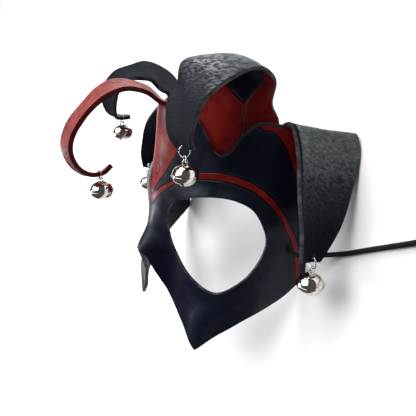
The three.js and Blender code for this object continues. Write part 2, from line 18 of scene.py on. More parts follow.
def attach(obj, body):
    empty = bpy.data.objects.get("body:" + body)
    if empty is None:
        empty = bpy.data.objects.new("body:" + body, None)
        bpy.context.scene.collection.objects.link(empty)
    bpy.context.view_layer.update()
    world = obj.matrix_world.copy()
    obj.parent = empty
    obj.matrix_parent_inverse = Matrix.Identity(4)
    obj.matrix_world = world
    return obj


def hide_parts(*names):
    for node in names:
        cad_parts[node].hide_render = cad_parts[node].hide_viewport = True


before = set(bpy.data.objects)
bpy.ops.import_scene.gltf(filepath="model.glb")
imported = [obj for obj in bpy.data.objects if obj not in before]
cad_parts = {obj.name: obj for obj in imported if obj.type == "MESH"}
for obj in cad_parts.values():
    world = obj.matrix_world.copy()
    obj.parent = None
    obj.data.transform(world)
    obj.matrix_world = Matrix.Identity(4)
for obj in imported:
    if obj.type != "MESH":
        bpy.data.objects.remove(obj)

log = logging.getLogger("jester_mask")

Array = np.ndarray
Knots = Sequence[tuple[float, float]]
Points = Sequence[Sequence[float]]
Colour = tuple[float, float, float, float]
Piece = bpy.types.Object
Material = bpy.types.Material
Socket = bpy.types.NodeSocket

MM = 0.001
DOWN = np.array([0, -1.0, 0])

# How the mask lies: turned about x and lifted on to the surface, as the solids are
RESTING_TILT = math.radians(17.67625)
RESTING_PLACE = (0.5471, 0.6464, 85.2605)

# Thickness of the leather, and the gap between glued sheets
LEATHER = 2.8
TOUCH_GAP = 0.4

# How much finer the sheets are than the solids, what stands for far from a seam or rim, and an even painted
# shade for sheets whose rough side has no shade ramp
FINER = 6
FAR_OFF = 99
PLAIN_PAINTED_SHADE = 0.6


class Side(Enum):
    """Which side of the wearer a horn is on."""

    LEFT = "left"
    RIGHT = "right"


# Outer horns: rear edge as far as both are alike, then the rest of the rear edge and the front edge of each
OUTER_REAR = ((81, 44.5, -101), (85.5, 38, -101), (90, 25, -95.5), (94, 13, -88), (97.5, 3, -81))
OUTER_EDGES = {
    Side.LEFT: (
        (*OUTER_REAR, (101, -8, -71), (104, -20.5, -56)),
        (
            (70, 54.2, -56), (76, 47.5, -55.5), (84, 33, -52), (90, 19, -48), (94.5, 8, -46), (99, -6, -44),
            (101, -18.5, -43),
        ),
    ),
    Side.RIGHT: (
        (*OUTER_REAR, (101, -6, -67.5), (104, -16.9, -50.8)),
        (
            (70, 54.2, -56), (81, 46, -49.5), (92, 32.7, -42.2), (98, 23, -40.3), (102, 10, -39),
            (104, -2, -38), (104, -13.8, -39.5),
        ),
    ),
}

# Inner horns: outer and inner edge from where each leaves the face, crown, and painted shade of its rough
# side along the horn, low where light falls on the crest and high in shade
INNER_SHAPES = {
    Side.LEFT: (
        (
            (61, 53, -56), (60, 65, -50.5), (60, 78, -52), (60, 85, -41), (60, 81.5, -23), (60, 71.5, -5),
            (59.5, 61, 1.5), (58, 52.5, 3), (56, 44.3, 1),
        ),
        (
            (22, 48, -23), (22, 62, -25), (26, 77, -31), (28, 87.5, -32), (28, 87.5, -9.5), (29, 75.5, -5.5),
            (27, 66, 0.3), (29, 48, 1.3), (36, 39, -1.5),
        ),
        (0, -2, -2, -4, -2, 0, 2, 2, 1),
        ((0, 0.8), (0.2, 0.5), (0.35, 0.12), (0.55, 0.3), (0.75, 0.75), (1, 1)),
    ),
    Side.RIGHT: (
        (
            (61, 53, -56), (60, 66, -54), (60, 76, -43), (60, 82, -27), (60, 80, -16), (60, 76.5, -3),
            (60, 69, 5), (60, 57, 8.5), (59, 48.3, 6), (58, 44.8, 0), (56, 44.3, -9),
        ),
        (
            (22, 48, -23), (25, 62, -27.7), (27, 65.6, -22.5), (28, 72.3, -16), (30, 73.8, -9.5),
            (33, 73.3, -2.6), (37, 67, 4.5), (41, 56, 6.5), (46, 46, 4.5), (49, 44, -1), (50, 44.2, -8),
        ),
        (0, -1, 0, 0, 1, 1.5, 1.5, 1.5, 1.5, 1, 0),
        ((0, 0.95), (0.5, 1.1), (1, 1.3)),
    ),
}


def profile(knots: Knots, at: Array) -> Array:
    """Reads a smooth line through knots.

    Args:
        knots: Pairs of place and height.
        at: Places to read the line at.

    Returns:
        The heights there.
    """
    xs, ys = np.array(knots, float).T
    x = np.clip(np.asarray(at, float), xs[0], xs[-1])
    k = np.searchsorted(xs[1:-1], x, side="left")
    count = np.arange(len(xs))
    before, after = np.maximum(count - 1, 0), np.minimum(count + 1, len(xs) - 1)
    slope = (ys[after] - ys[before]) / (xs[after] - xs[before])
    span = xs[k + 1] - xs[k]
    t = (x - xs[k]) / span
    return (
        (2 * t**3 - 3 * t**2 + 1) * ys[k]
        + (t**3 - 2 * t**2 + t) * span * slope[k]
        + (3 * t**2 - 2 * t**3) * ys[k + 1]
        + (t**3 - t**2) * span * slope[k + 1]
    )


def smooth_step(t: Array) -> Array:
    """Returns a ramp from 0 to 1 with soft ends."""
    c = np.clip(t, 0, 1)
    return c * c * (3 - 2 * c)


def unit(direction: Array) -> Array:
    """Returns the direction, one long."""
    return direction / np.linalg.norm(direction)


def curve_at(points: Points, t: Array, closed: bool = False) -> Array:
    """Reads a centripetal curve through points.

    Args:
        points: The points that the curve passes.
        t: Ways along it, from 0 to 1.
        closed: Whether the curve closes on itself.

    Returns:
        The curve's points at those ways.
    """
    p = np.array(points, float)
    n = len(p)
    at = np.clip(t, 0, 1) * (n if closed else n - 1)
    k = np.floor(at).astype(int)
    w = at - k
    if closed:
        p0, p1, p2, p3 = (p[(k + i - 1) % n] for i in range(4))
    else:
        last = k >= n - 1
        k[last] = n - 2
        w[last] = 1.0
        p = np.vstack([2 * p[0] - p[1], p, 2 * p[-1] - p[-2]])
        p0, p1, p2, p3 = (p[k + i] for i in range(4))
    d0, d1, d2 = (
        np.maximum(np.linalg.norm(b - a, axis=1), 1e-9)[:, None] ** 0.5
        for a, b in ((p0, p1), (p1, p2), (p2, p3))
    )
    m1 = ((p1 - p0) / d0 - (p2 - p0) / (d0 + d1) + (p2 - p1) / d1) * d1
    m2 = ((p2 - p1) / d1 - (p3 - p1) / (d1 + d2) + (p3 - p2) / d2) * d1
    w = w[:, None]
    return p1 + m1 * w + (3 * (p2 - p1) - 2 * m1 - m2) * w**2 + (2 * (p1 - p2) + m1 + m2) * w**3


def spaced(points: Points, pieces: int, closed: bool = False) -> Array:
    """Spaces points evenly along the smooth curve through the given ones.

    Args:
        points: The points that the curve passes.
        pieces: How many equal lengths it is parted into.
        closed: Whether the curve closes on itself.

    Returns:
        The ends of those lengths.
    """
    t = np.linspace(0, 1, 1200)
    fine = curve_at(points, t, closed)
    along = np.concatenate([[0], np.cumsum(np.linalg.norm(np.diff(fine, axis=0), axis=1))])
    return curve_at(points, np.interp(np.linspace(0, along[-1], pieces + 1), along, t), closed)


def straight(a: Sequence[float], b: Sequence[float], pieces: int) -> Array:
    """Returns pieces + 1 points evenly spaced from a to b."""
    return np.linspace(np.array(a, float), np.array(b, float), pieces + 1)


def horn_rows(root: Array, edge_a: Points, edge_b: Points, crown: Sequence[float], steps: int) -> Array:
    """Spans a horn between two edges.

    Args:
        root: The row of points that the horn grows from.
        edge_a: Points of the edge that starts at the root's first point.
        edge_b: Points of the edge that starts at the root's last point.
        crown: How far the middle stands out, at even steps along the horn.
        steps: How many rows follow the root.

    Returns:
        Rows of points from the root to the tip.
    """
    t = np.linspace(0, 1, steps + 1)
    rail_a, rail_b = ([tuple(end), *edge] for end, edge in ((root[0], edge_a), (root[-1], edge_b)))
    ahead, back = np.minimum(t + 0.02, 1), np.maximum(t - 0.02, 0)
    a, b = curve_at(rail_a, t), curve_at(rail_b, t)
    along = curve_at(rail_a, ahead) + curve_at(rail_b, ahead)
    along = along - curve_at(rail_a, back) - curve_at(rail_b, back)
    out = np.cross(along, b - a)
    out /= np.linalg.norm(out, axis=1, keepdims=True)
    f = np.linspace(0, 1, len(root))
    bow = root - (root[0] + (root[-1] - root[0]) * f[:, None])
    fade = 1 - smooth_step(t * 3)
    rise = profile([(i / len(crown), c) for i, c in enumerate((0, *crown))], t)
    flat = a[:, None] + (b - a)[:, None] * f[None, :, None]
    lift = (rise[:, None] * 4 * f * (1 - f))[..., None]
    return flat + bow[None] * fade[:, None, None] + out[:, None] * lift


def distance_to_outline(points: Array, outline: Array) -> Array:
    """Measures how far points lie from a closed flat outline.

    Args:
        points: The points.
        outline: The outline's corners.

    Returns:
        The distances, negative inside.
    """
    a, b = outline, np.roll(outline, -1, axis=0)
    edge = b - a
    rel = points[:, None] - a[None]
    t = np.clip((rel * edge).sum(-1) / np.maximum((edge**2).sum(-1), 1e-9), 0, 1)
    far = np.linalg.norm(rel - t[..., None] * edge, axis=-1).min(1)
    crosses = (a[None, :, 1] > points[:, None, 1]) != (b[None, :, 1] > points[:, None, 1])
    with np.errstate(divide="ignore", invalid="ignore"):
        x = a[:, 0] + (points[:, None, 1] - a[:, 1]) * edge[:, 0] / edge[:, 1]
    inside = (crosses & (points[:, None, 0] < x)).sum(1) % 2 == 1
    return np.where(inside, -far, far)


def run_and_width(rows: Array) -> tuple[Array, Array]:
    """Measures a strip.

    Args:
        rows: The strip's rows of points.

    Returns:
        How far each row is along the strip's middle, and how far each point is across it.
    """
    middle = rows[:, rows.shape[1] // 2]
    along = np.concatenate([[0], np.cumsum(np.linalg.norm(np.diff(middle, axis=0), axis=1))])
    step = np.linalg.norm(np.diff(rows, axis=1), axis=2)
    across = np.concatenate([np.zeros((len(rows), 1)), np.cumsum(step, axis=1)], axis=1)
    return along, across - across[:, -1:] / 2


def deselect() -> None:
    """Leaves nothing selected."""
    for piece in bpy.context.selected_objects:
        piece.select_set(False)


def activate(*pieces: Piece) -> None:
    """Selects only these pieces and makes the first one active.

    Args:
        *pieces: The pieces.
    """
    deselect()
    for piece in pieces:
        piece.select_set(True)
    bpy.context.view_layer.objects.active = pieces[0]


def apply_modifier(piece: Piece, kind: str, **settings: object) -> None:
    """Adds a modifier and applies it.

    Args:
        piece: The piece that it changes.
        kind: The modifier's kind.
        **settings: Its settings by name.
    """
    activate(piece)
    modifier = piece.modifiers.new(kind.title(), kind)
    for name, value in settings.items():
        setattr(modifier, name, value)
    bpy.ops.object.modifier_apply(modifier=modifier.name)


def turn_to(axis: Sequence[float]) -> Matrix:
    """Returns the turn that takes z to this axis."""
    return Vector(axis).to_track_quat("Z", "Y").to_matrix().to_4x4()


def lay_down() -> Matrix:
    """Returns the move from the wearer's frame, in millimetres, to where the mask lies, in metres."""
    place = Matrix.Translation(Vector(RESTING_PLACE) * MM)
    return place @ Matrix.Rotation(RESTING_TILT, 4, "X") @ Matrix.Scale(MM, 4)


def lay(piece: Piece, name: str, place: Matrix = Matrix()) -> Piece:
    """Names a piece and lays it where it belongs.

    Args:
        piece: The piece.
        name: Its name.
        place: Its place in the wearer's frame.

    Returns:
        The piece.
    """
    piece.name = piece.data.name = name
    piece.data.transform(lay_down() @ place)
    piece.data.update()
    return piece


@dataclass(frozen=True)
class Face:
    """Surface of the moulded face, over the distance round from the centreline and the height."""

    # How far level sections have turned round the head, in degrees, by distance from the centreline
    brow_turn: Knots = ((0, 0), (14, 25), (40, 33), (65, 48), (95, 72), (115, 80), (160, 82))
    cheek_turn: Knots = ((0, 0), (14, 8), (40, 26), (65, 50), (95, 74), (115, 80), (160, 82))
    cheek_below: float = -12
    brow_above: float = 14
    section_length: int = 165
    # Depth beside the nose, and how far the nose stands out from it, by height
    side_profile: Knots = (
        (-110, 0), (-80, 1), (-50, -2), (-25, -5), (-8, -4), (5, -1.5), (20, -6), (45, -10), (65, -12),
    )
    nose_ridge: Knots = ((-60, 19), (-38, 16.4), (-30, 12), (-22, 8), (-8, 4.2), (6, 0), (20, 0), (65, 0))
    nose_width: float = 12.5
    # The crease from the eye down to the cheek point
    crease_height: float = 4
    crease_width: float = 10
    crease_rise: float = 2
    crease_top: tuple[float, float] = (54, -58)
    cheek_point: tuple[float, float] = (44.5, -106.5)

    @cached_property
    def sections(self) -> list[Array]:
        """Level sections across the brow and the cheeks, as x and depth at each millimetre along them."""
        sections = []
        for turn in (self.brow_turn, self.cheek_turn):
            angle = np.radians(profile(turn, np.arange(self.section_length) + 0.5))
            steps = np.stack([np.cos(angle), -np.sin(angle)], 1)
            sections.append(np.vstack([[0, 0], np.cumsum(steps, axis=0)]))
        return sections

    def points(self, u: Array, v: Array) -> Array:
        """Places points on the face.

        Args:
            u: Distances round from the centreline, negative on the right.
            v: Heights.

        Returns:
            The points, in the wearer's frame.
        """
        a = np.abs(u)
        brow, cheek = self.sections
        mix = smooth_step((v - self.cheek_below) / (self.brow_above - self.cheek_below))
        step = np.arange(len(brow))
        x, wrap = (
            np.interp(a, step, brow[:, i]) * mix + np.interp(a, step, cheek[:, i]) * (1 - mix) for i in (0, 1)
        )
        ridge = profile(self.nose_ridge, v) * np.exp(-((x / self.nose_width) ** 2))
        drop = (self.crease_top[1] - v) / (self.crease_top[1] - self.cheek_point[1])
        crease_at = self.crease_top[0] + (self.cheek_point[0] - self.crease_top[0]) * np.maximum(drop, 0)
        crease = self.crease_height * smooth_step(drop * self.crease_rise)
        crease = crease * np.exp(-(((a - crease_at) / self.crease_width) ** 2))
        return np.stack([np.sign(u) * x, v, wrap + profile(self.side_profile, v) + ridge + crease], -1)

    def normals(self, u: Array, v: Array) -> Array:
        """Finds the outward normals of the face.

        Args:
            u: Distances round from the centreline, negative on the right.
            v: Heights.

        Returns:
            The normals there.
        """
        h = 0.5
        across = self.points(u + h, v) - self.points(u - h, v)
        up = self.points(u, v + h) - self.points(u, v - h)
        n = np.cross(across, up)
        return n / np.linalg.norm(n, axis=-1, keepdims=True)


@dataclass(frozen=True)
class Paintwork:
    """Outlines of what is red on the left half, as distances round from the centreline and heights."""

    band_upper: Knots = (
        (0, -0.4), (5, 4.3), (9.1, 8.1), (15.7, 12.4), (23.5, 17.3), (32, 20.6), (47.1, 22.5), (58.4, 21),
        (67.3, 18.3), (77.2, 13.1), (86.6, 7), (95.2, -1.8), (100.9, -12.5), (105.5, -24.1), (109.4, -33.7),
        (113.5, -56),
    )
    band_lower: Knots = (
        (0, -6.4), (8.3, 2.5), (17.8, 10.3), (24.5, 14.2), (32.5, 16.8), (41.7, 17.6), (50.6, 17.6),
        (59.6, 16.3), (68.9, 13.4), (77.2, 9.2), (86.3, 3.1), (93.8, -6), (99.1, -18), (103, -27.5),
        (106.4, -38.9), (110, -56),
    )
    # Height and half width of the diamond on the forehead
    diamond_edge: Knots = ((0.4, 0), (20.5, 10.6), (31.8, 15.6), (42, 18.5), (52, 18), (61, 14))
    horn_field: Knots = (
        (64, 60), (66, 54), (67, 51.6), (70.5, 50.3), (75.8, 49.3), (80.3, 45.2), (85.8, 38), (90.8, 28.5),
        (95, 20.3), (100, 12.3), (107, 4), (122, -3), (128, 4), (113, 13), (106, 24), (101, 36), (96, 48),
        (92, 60),
    )

    def band(self) -> Array:
        """Returns the band, run past the centreline to the other side."""
        edges = (self.band_upper, self.band_lower)
        other_upper, other_lower = ([(-u, v) for u, v in edge[:0:-1]] for edge in edges)
        return np.array([*other_upper, *self.band_upper, *self.band_lower[::-1], *other_lower[::-1]], float)

    def diamond(self) -> Array:
        """Returns the diamond, both halves of it."""
        left = [(w, v) for v, w in self.diamond_edge]
        return np.array(left + [(-w, v) for w, v in left[::-1]], float)

    def field(self) -> Array:
        """Returns the outer horn's stripe."""
        return np.array(self.horn_field, float)


@dataclass
class LeatherSheet:
    """A grid of leather without thickness: points, their flat places as cut, and values for the finishes."""

    rows: Array
    cut: Array
    fields: dict[str, Array]

    def __post_init__(self) -> None:
        """Adds the plain fields that aren't given: no seam or rim near, and an even painted shade."""
        plain = {"seam": FAR_OFF, "rim": FAR_OFF, "painted_shade": PLAIN_PAINTED_SHADE, "warm": 0.0}
        shape = self.rows.shape[:2]
        self.fields = {**{name: np.full(shape, value) for name, value in plain.items()}, **self.fields}

    def mirrored(self) -> "LeatherSheet":
        """Returns the sheet's other hand."""
        other = self.turned()
        return LeatherSheet(other.rows * np.array([-1, 1, 1]), other.cut * np.array([-1, 1]), other.fields)

    def turned(self) -> "LeatherSheet":
        """Returns the sheet facing the other way."""
        fields = {name: value[:, ::-1] for name, value in self.fields.items()}
        return LeatherSheet(self.rows[:, ::-1], self.cut[:, ::-1], fields)

    def build(self, name: str) -> Piece:
        """Makes the sheet from a primitive grid whose points are moved into place.

        Args:
            name: The name of the piece.

        Returns:
            The piece.
        """
        high, wide = self.rows.shape[:2]
        deselect()
        bpy.ops.mesh.primitive_grid_add(x_subdivisions=wide - 1, y_subdivisions=high - 1, size=1)
        piece = bpy.context.object
        piece.name = piece.data.name = name
        mesh = piece.data
        flat = np.empty(len(mesh.vertices) * 3)
        mesh.vertices.foreach_get("co", flat)
        flat = flat.reshape(-1, 3)
        i = np.rint((flat[:, 0] + 0.5) * (wide - 1)).astype(int)
        j = np.rint((flat[:, 1] + 0.5) * (high - 1)).astype(int)
        mesh.vertices.foreach_set("co", self.rows[j, i].ravel())
        for field_name, value in self.fields.items():
            layer = mesh.attributes.new(field_name, "FLOAT", "POINT")
            layer.data.foreach_set("value", value[j, i].ravel())
        corner = np.empty(len(mesh.loops), int)
        mesh.loops.foreach_get("vertex_index", corner)
        layer = mesh.uv_layers[0] if mesh.uv_layers else mesh.uv_layers.new(name="UVMap")
        layer.uv.foreach_set("vector", (self.cut[j, i][corner] * MM).ravel())
        mesh.update()
        return piece


@dataclass(frozen=True)
class FacePattern:
    """The left half of the face as it is cut: distances round from the centreline, and heights."""

    face: Face
    paint: Paintwork
    eye_centre: tuple[float, float] = (50, -24)
    eye_outline: Knots = (
        (13, -11), (17.5, -2.5), (30, 4), (46, 7.2), (62, 6.5), (75, 1), (83, -13), (83, -27), (73, -46),
        (55, -58.3), (40, -54), (26, -43.5), (15.5, -27),
    )
    nose_bottom: tuple[float, float] = (0, -37.5)
    nose_corner: tuple[float, float] = (6, -42)
    nose_edge: Knots = ((13.5, -59), (26.5, -80.5), (37.5, -99))
    jaw_edge: Knots = ((58.5, -90.5), (79, -75), (99.5, -63.3))
    temple_bottom: tuple[float, float] = (116.5, -51)
    temple_edge: Knots = ((114, -25), (117, 8), (123, 29))
    fold_rear: tuple[float, float] = (129, 41)
    fold_front: tuple[float, float] = (81, 53)
    valley_outer: Knots = ((73, 54.4), (66, 53.8), (61, 50), (56, 44.5), (51.5, 36.5))
    valley: tuple[float, float] = (46.2, 32.8)
    valley_inner: Knots = ((41.5, 34.8), (36.4, 42), (27, 53.5), (19, 58.5))
    neck_corner: tuple[float, float] = (13, 61)
    rings: int = 30

    @cached_property
    def fold(self) -> Array:
        """The outer horn's root, from rear to front."""
        return straight(self.fold_rear, self.fold_front, 6 * FINER)

    @cached_property
    def neck(self) -> Array:
        """The left half of the centre horn's root, from its corner to the centreline."""
        return straight(self.neck_corner, (0, self.neck_corner[1]), 3 * FINER)

    @cached_property
    def brim(self) -> Knots:
        """The edge from the fold down to the bottom of the valley."""
        return (self.fold_front, *self.valley_outer, self.valley)

    def edge(self) -> Array:
        """Returns the edge of the leather, from the temple's lower corner round and back to it."""
        parts = (
            spaced((self.temple_bottom, *self.temple_edge, self.fold_rear), 9 * FINER),
            self.fold,
            spaced(self.brim, 8 * FINER),
            spaced((self.valley, *self.valley_inner, self.neck_corner), 7 * FINER),
            self.neck,
            straight(self.neck[-1], self.nose_bottom, 12 * FINER),
            straight(self.nose_bottom, self.nose_corner, FINER),
            spaced((self.nose_corner, *self.nose_edge, self.face.cheek_point), 9 * FINER),
        )
        jaw = spaced((self.face.cheek_point, *self.jaw_edge, self.temple_bottom), 11 * FINER)
        return np.vstack([*(part[:-1] for part in parts), jaw])

    def eye_edge(self, angle: Array) -> Array:
        """Finds the edge of the eye opening.

        Args:
            angle: Directions from the middle of the eye.

        Returns:
            The points of the edge that lie there.
        """
        loop = spaced(self.eye_outline, 720, closed=True)[:-1] - np.array(self.eye_centre)
        at = np.arctan2(loop[:, 1], loop[:, 0])
        order = np.argsort(at)
        radius = np.interp(angle, at[order], np.hypot(loop[:, 0], loop[:, 1])[order], period=2 * math.pi)
        out = np.stack([np.cos(angle), np.sin(angle)], 1)
        return np.array(self.eye_centre, float) + radius[:, None] * out

    def sheet(self) -> LeatherSheet:
        """Returns the left half as a sheet, in spokes from the eye opening out to the edge."""
        edge = self.edge()
        start = self.eye_edge(np.arctan2(*(edge - np.array(self.eye_centre, float)).T[::-1]))
        cut = start[:, None] + (edge - start)[:, None] * np.linspace(0, 1, self.rings + 1)[:, None]
        flat = cut.reshape(-1, 2)
        areas = (self.paint.band(), self.paint.diamond(), self.paint.field())
        paint = np.minimum.reduce([distance_to_outline(flat, area) for area in areas])
        rim = np.min(np.linalg.norm(flat[:, None] - spaced(self.brim, 160)[None], axis=2), axis=1)
        fields = {name: value.reshape(cut.shape[:2]) for name, value in (("paint", paint), ("rim", rim))}
        return LeatherSheet(self.face.points(cut[..., 0], cut[..., 1]), cut, fields)


@dataclass(frozen=True)
class OuterHorn:
    """One of the two wide horns that fold back from the temples."""

    pattern: FacePattern
    side: Side
    # How far the middle stands out, at even steps from the fold to the tip
    crown: Sequence[float] = (1, 2, 3, 3.5, 3, 2.5, 1.5)
    rim_narrows: float = 0.05
    # Painted light on the rough side: pale where light falls near the fold, shading darker towards the tip
    painted_shade_spread: float = 1.15

    def rows(self) -> Array:
        """Returns the horn's rows from the fold to the tip, each from the rear edge to the front edge."""
        root = self.pattern.fold
        rear, front = OUTER_EDGES[self.side]
        start = self.pattern.face.points(root[:, 0], root[:, 1])
        return horn_rows(start, rear, front, self.crown, 16 * FINER)

    def sheet(self) -> LeatherSheet:
        """Returns the horn as a sheet, black but for the end of the red stripe at its front edge."""
        rows = self.rows()
        root = self.pattern.fold
        along, across = run_and_width(rows)
        shape = rows.shape[:2]
        fields = {
            "paint": distance_to_outline(root, self.pattern.paint.field())[None] + along[:, None],
            "rim": across[:, -1:] - across + along[:, None] * self.rim_narrows,
            # Painted shade of the rough side: light at the fold, darker towards the tip
            "painted_shade": smooth_step(along / along[-1] * self.painted_shade_spread)[:, None] * np.ones(shape),
        }
        cut = np.stack([np.broadcast_to(root[:, 0], shape), root[None, :, 1] + along[:, None]], -1)
        return LeatherSheet(rows, cut, fields).turned()


@dataclass(frozen=True)
class CentreHorn:
    """The narrow red horn that rises from the forehead and curls forward."""

    pattern: FacePattern
    # Height, depth, half width, roll in degrees and crown along the middle
    stations: Points = (
        (61, -12, 13, 0, 0), (66.5, -4.5, 11.5, -16, 0.5), (71.6, 4.2, 11, -11, 1), (74.4, 18.2, 11, -6, 1),
        (70.4, 30.2, 11, 0, 1), (62.8, 40.2, 10.3, 3, 1), (52, 50.3, 9.4, 2, 1), (41, 54.3, 8.7, -1, 1),
        (30.4, 52, 7.4, -5, 1), (22.8, 44.5, 6.5, -12, 0.5), (21.6, 35, 5.5, -18, 0),
        (25.5, 28.4, 4.5, -20, 0),
    )
    neck_blend: float = 0.08
    neck_fade: float = 6

    @cached_property
    def root(self) -> Array:
        """The row that the horn grows from, from right to left."""
        half = self.pattern.neck[::-1]
        return np.vstack([half[:0:-1] * np.array([-1, 1]), half])

    def rows(self) -> Array:
        """Returns the horn's rows from the forehead to the tip, each from right to left."""
        stations = np.array(self.stations, float)
        t = np.linspace(0, 1, 26 * FINER + 1)
        place = np.linspace(0, 1, len(stations))
        middle_knots = [(0, y, z) for y, z in stations[:, :2]]
        middle = curve_at(middle_knots, t)
        h = 1e-4
        along = curve_at(middle_knots, np.minimum(t + h, 1)) - curve_at(middle_knots, np.maximum(t - h, 0))
        along /= np.linalg.norm(along, axis=1, keepdims=True)
        width, roll, crown = (profile(list(zip(place, stations[:, i])), t) for i in (2, 3, 4))
        roll = np.radians(roll)[:, None]
        x = np.array([[1.0, 0, 0]])
        out = np.cross(x, along)
        side = x * np.cos(roll) - out * np.sin(roll)
        lift = out * np.cos(roll) + x * np.sin(roll)
        f = np.linspace(-1, 1, len(self.root))
        rows = middle[:, None] + side[:, None] * (width[:, None] * f)[..., None]
        rows = rows + lift[:, None] * (crown[:, None] * (1 - f * f))[..., None]
        start = self.pattern.face.points(self.root[:, 0], self.root[:, 1])
        blend = 1 - smooth_step(t / self.neck_blend)
        return rows + (start - rows[0])[None] * blend[:, None, None]

    def sheet(self) -> LeatherSheet:
        """Returns the horn as a sheet, red on both sides."""
        rows = self.rows()
        along = run_and_width(rows)[0][:, None]
        even = np.ones(rows.shape[:2])
        fields = {
            "paint": distance_to_outline(self.root, self.pattern.paint.diamond())[None] - along,
            "warm": smooth_step(along / self.neck_fade) * even,
        }
        cut = np.stack([self.root[:, 0] * even, self.pattern.neck_corner[1] + along * even], -1)
        return LeatherSheet(rows, cut, fields)


@dataclass(frozen=True)
class InnerHorn:
    """One of the two horns behind the forehead, whose foot lies on the back of the face."""

    face: Face
    side: Side
    # Inner end, outer end and height of the foot's lower edge, and of where the horn leaves the face
    lap: Points = ((23, 71, 20), (22, 74, 34))
    # The black V: the point's way across and distance, the width there, and the rise to each edge
    v_point: tuple[float, float] = (0.363, 31.2)
    v_width: float = 45
    v_slope: tuple[float, float] = (0.71, 1.79)
    # Lean and curve of the double seam below the V
    seam_bow: tuple[float, float] = (8.3, -9.8)
    cut_apart: float = 300

    def foot(self, f: float) -> Array:
        """Finds one row of the foot, behind the face.

        Args:
            f: How far up it is: 0 at the lower end, 1 where the horn leaves the face.

        Returns:
            The row, from the outer edge to the inner one.
        """
        start, end, height = (a * (1 - f) + b * f for a, b in zip(*self.lap))
        line = straight((end, height), (start, height), 6 * FINER).T
        return self.face.points(*line) - self.face.normals(*line) * (LEATHER + TOUCH_GAP)

    def rows(self) -> Array:
        """Returns the horn's rows from the foot to the tip, each from the outer edge to the inner edge."""
        outer, inner, crown, _ = INNER_SHAPES[self.side]
        foot = [self.foot(i / (2 * FINER)) for i in range(2 * FINER)]
        return np.concatenate([np.array(foot), horn_rows(self.foot(1), outer, inner, crown, 22 * FINER)])

    def sheet(self) -> LeatherSheet:
        """Returns the horn as a sheet: its smooth side is red up to a black V over a double seam."""
        rows = self.rows()
        along, across = run_and_width(rows)
        shape = rows.shape[:2]
        run = along[:, None] - along[2 * FINER]
        way, height = self.v_point
        place = (np.linspace(0, 1, shape[1])[None, :] - way) * self.v_width
        to_inner, to_outer = self.v_slope
        limit = height + np.where(place > 0, place * to_inner, -place * to_outer)
        below = (height - run) / height
        middle = below * self.seam_bow[0] + below**2 * self.seam_bow[1]
        rise = run / (along[-1] - along[2 * FINER])
        # Painted shade of the rough side, read along the horn: light on the lit crest, dark in shade
        painted_shade = profile(INNER_SHAPES[self.side][3], rise.ravel()).reshape(rise.shape)
        fields = {
            "paint": (run - limit) / np.sqrt(1 + np.where(place > 0, to_inner, to_outer) ** 2),
            "seam": np.where(run < height + 0.5, place - middle, FAR_OFF),
            "painted_shade": painted_shade * np.ones(shape),
        }
        cut = np.stack([across + self.cut_apart, run + 0 * across], -1)
        return LeatherSheet(rows, cut, fields).turned()


@dataclass(frozen=True)
class Spot:
    """A place for a ring on a horn: the leather's nearest edge, the way out to it, and its normal there."""

    edge: Array
    to_edge: Array
    normal: Array

    @classmethod
    def at_end(cls, rows: Array, column: int) -> "Spot":
        """Finds the place at a horn's end.

        Args:
            rows: The horn's rows.
            column: Its column, counted as in the coarser solids.

        Returns:
            The place.
        """
        middle = column * FINER
        across = unit(rows[-1, -1] - rows[-1, 0])
        to_edge = rows[-1, middle] - rows[-1 - FINER, middle]
        to_edge = unit(to_edge - across * (to_edge @ across))
        return cls(rows[-1, middle], to_edge, np.cross(across, to_edge))

    @classmethod
    def at_side(cls, rows: Array, row: int) -> "Spot":
        """Finds the place at the last edge of a horn's row.

        Args:
            rows: The horn's rows.
            row: The row, counted as in the coarser solids.

        Returns:
            The place.
        """
        j = row * FINER
        to_edge = unit(rows[j, -1] - rows[j, rows.shape[1] // 2])
        return cls(rows[j, -1], to_edge, unit(np.cross(rows[j + FINER, -1] - rows[j - FINER, -1], to_edge)))

    def flipped(self) -> "Spot":
        """Returns the same place on the other hand."""
        flip = np.array([-1, 1, 1])
        return Spot(self.edge * flip, self.to_edge * flip, self.normal * flip)


@dataclass(frozen=True)
class Hole:
    """A round hole punched through leather."""

    centre: Array
    axis: Array
    radius: float

    def punch(self, piece: Piece, edge_slot: int) -> None:
        """Cuts the hole out of a piece.

        Args:
            piece: The leather.
            edge_slot: The slot of the finish that the hole's wall gets.
        """
        deselect()
        bpy.ops.mesh.primitive_cylinder_add(
            vertices=32, radius=self.radius, depth=3 * LEATHER, location=self.centre,
            rotation=turn_to(self.axis).to_euler(),
        )
        punch = bpy.context.object
        for material in piece.data.materials:
            punch.data.materials.append(material)
        for face in punch.data.polygons:
            face.material_index = edge_slot
        apply_modifier(piece, "BOOLEAN", operation="DIFFERENCE", object=punch, solver="MANIFOLD")
        bpy.data.objects.remove(punch)


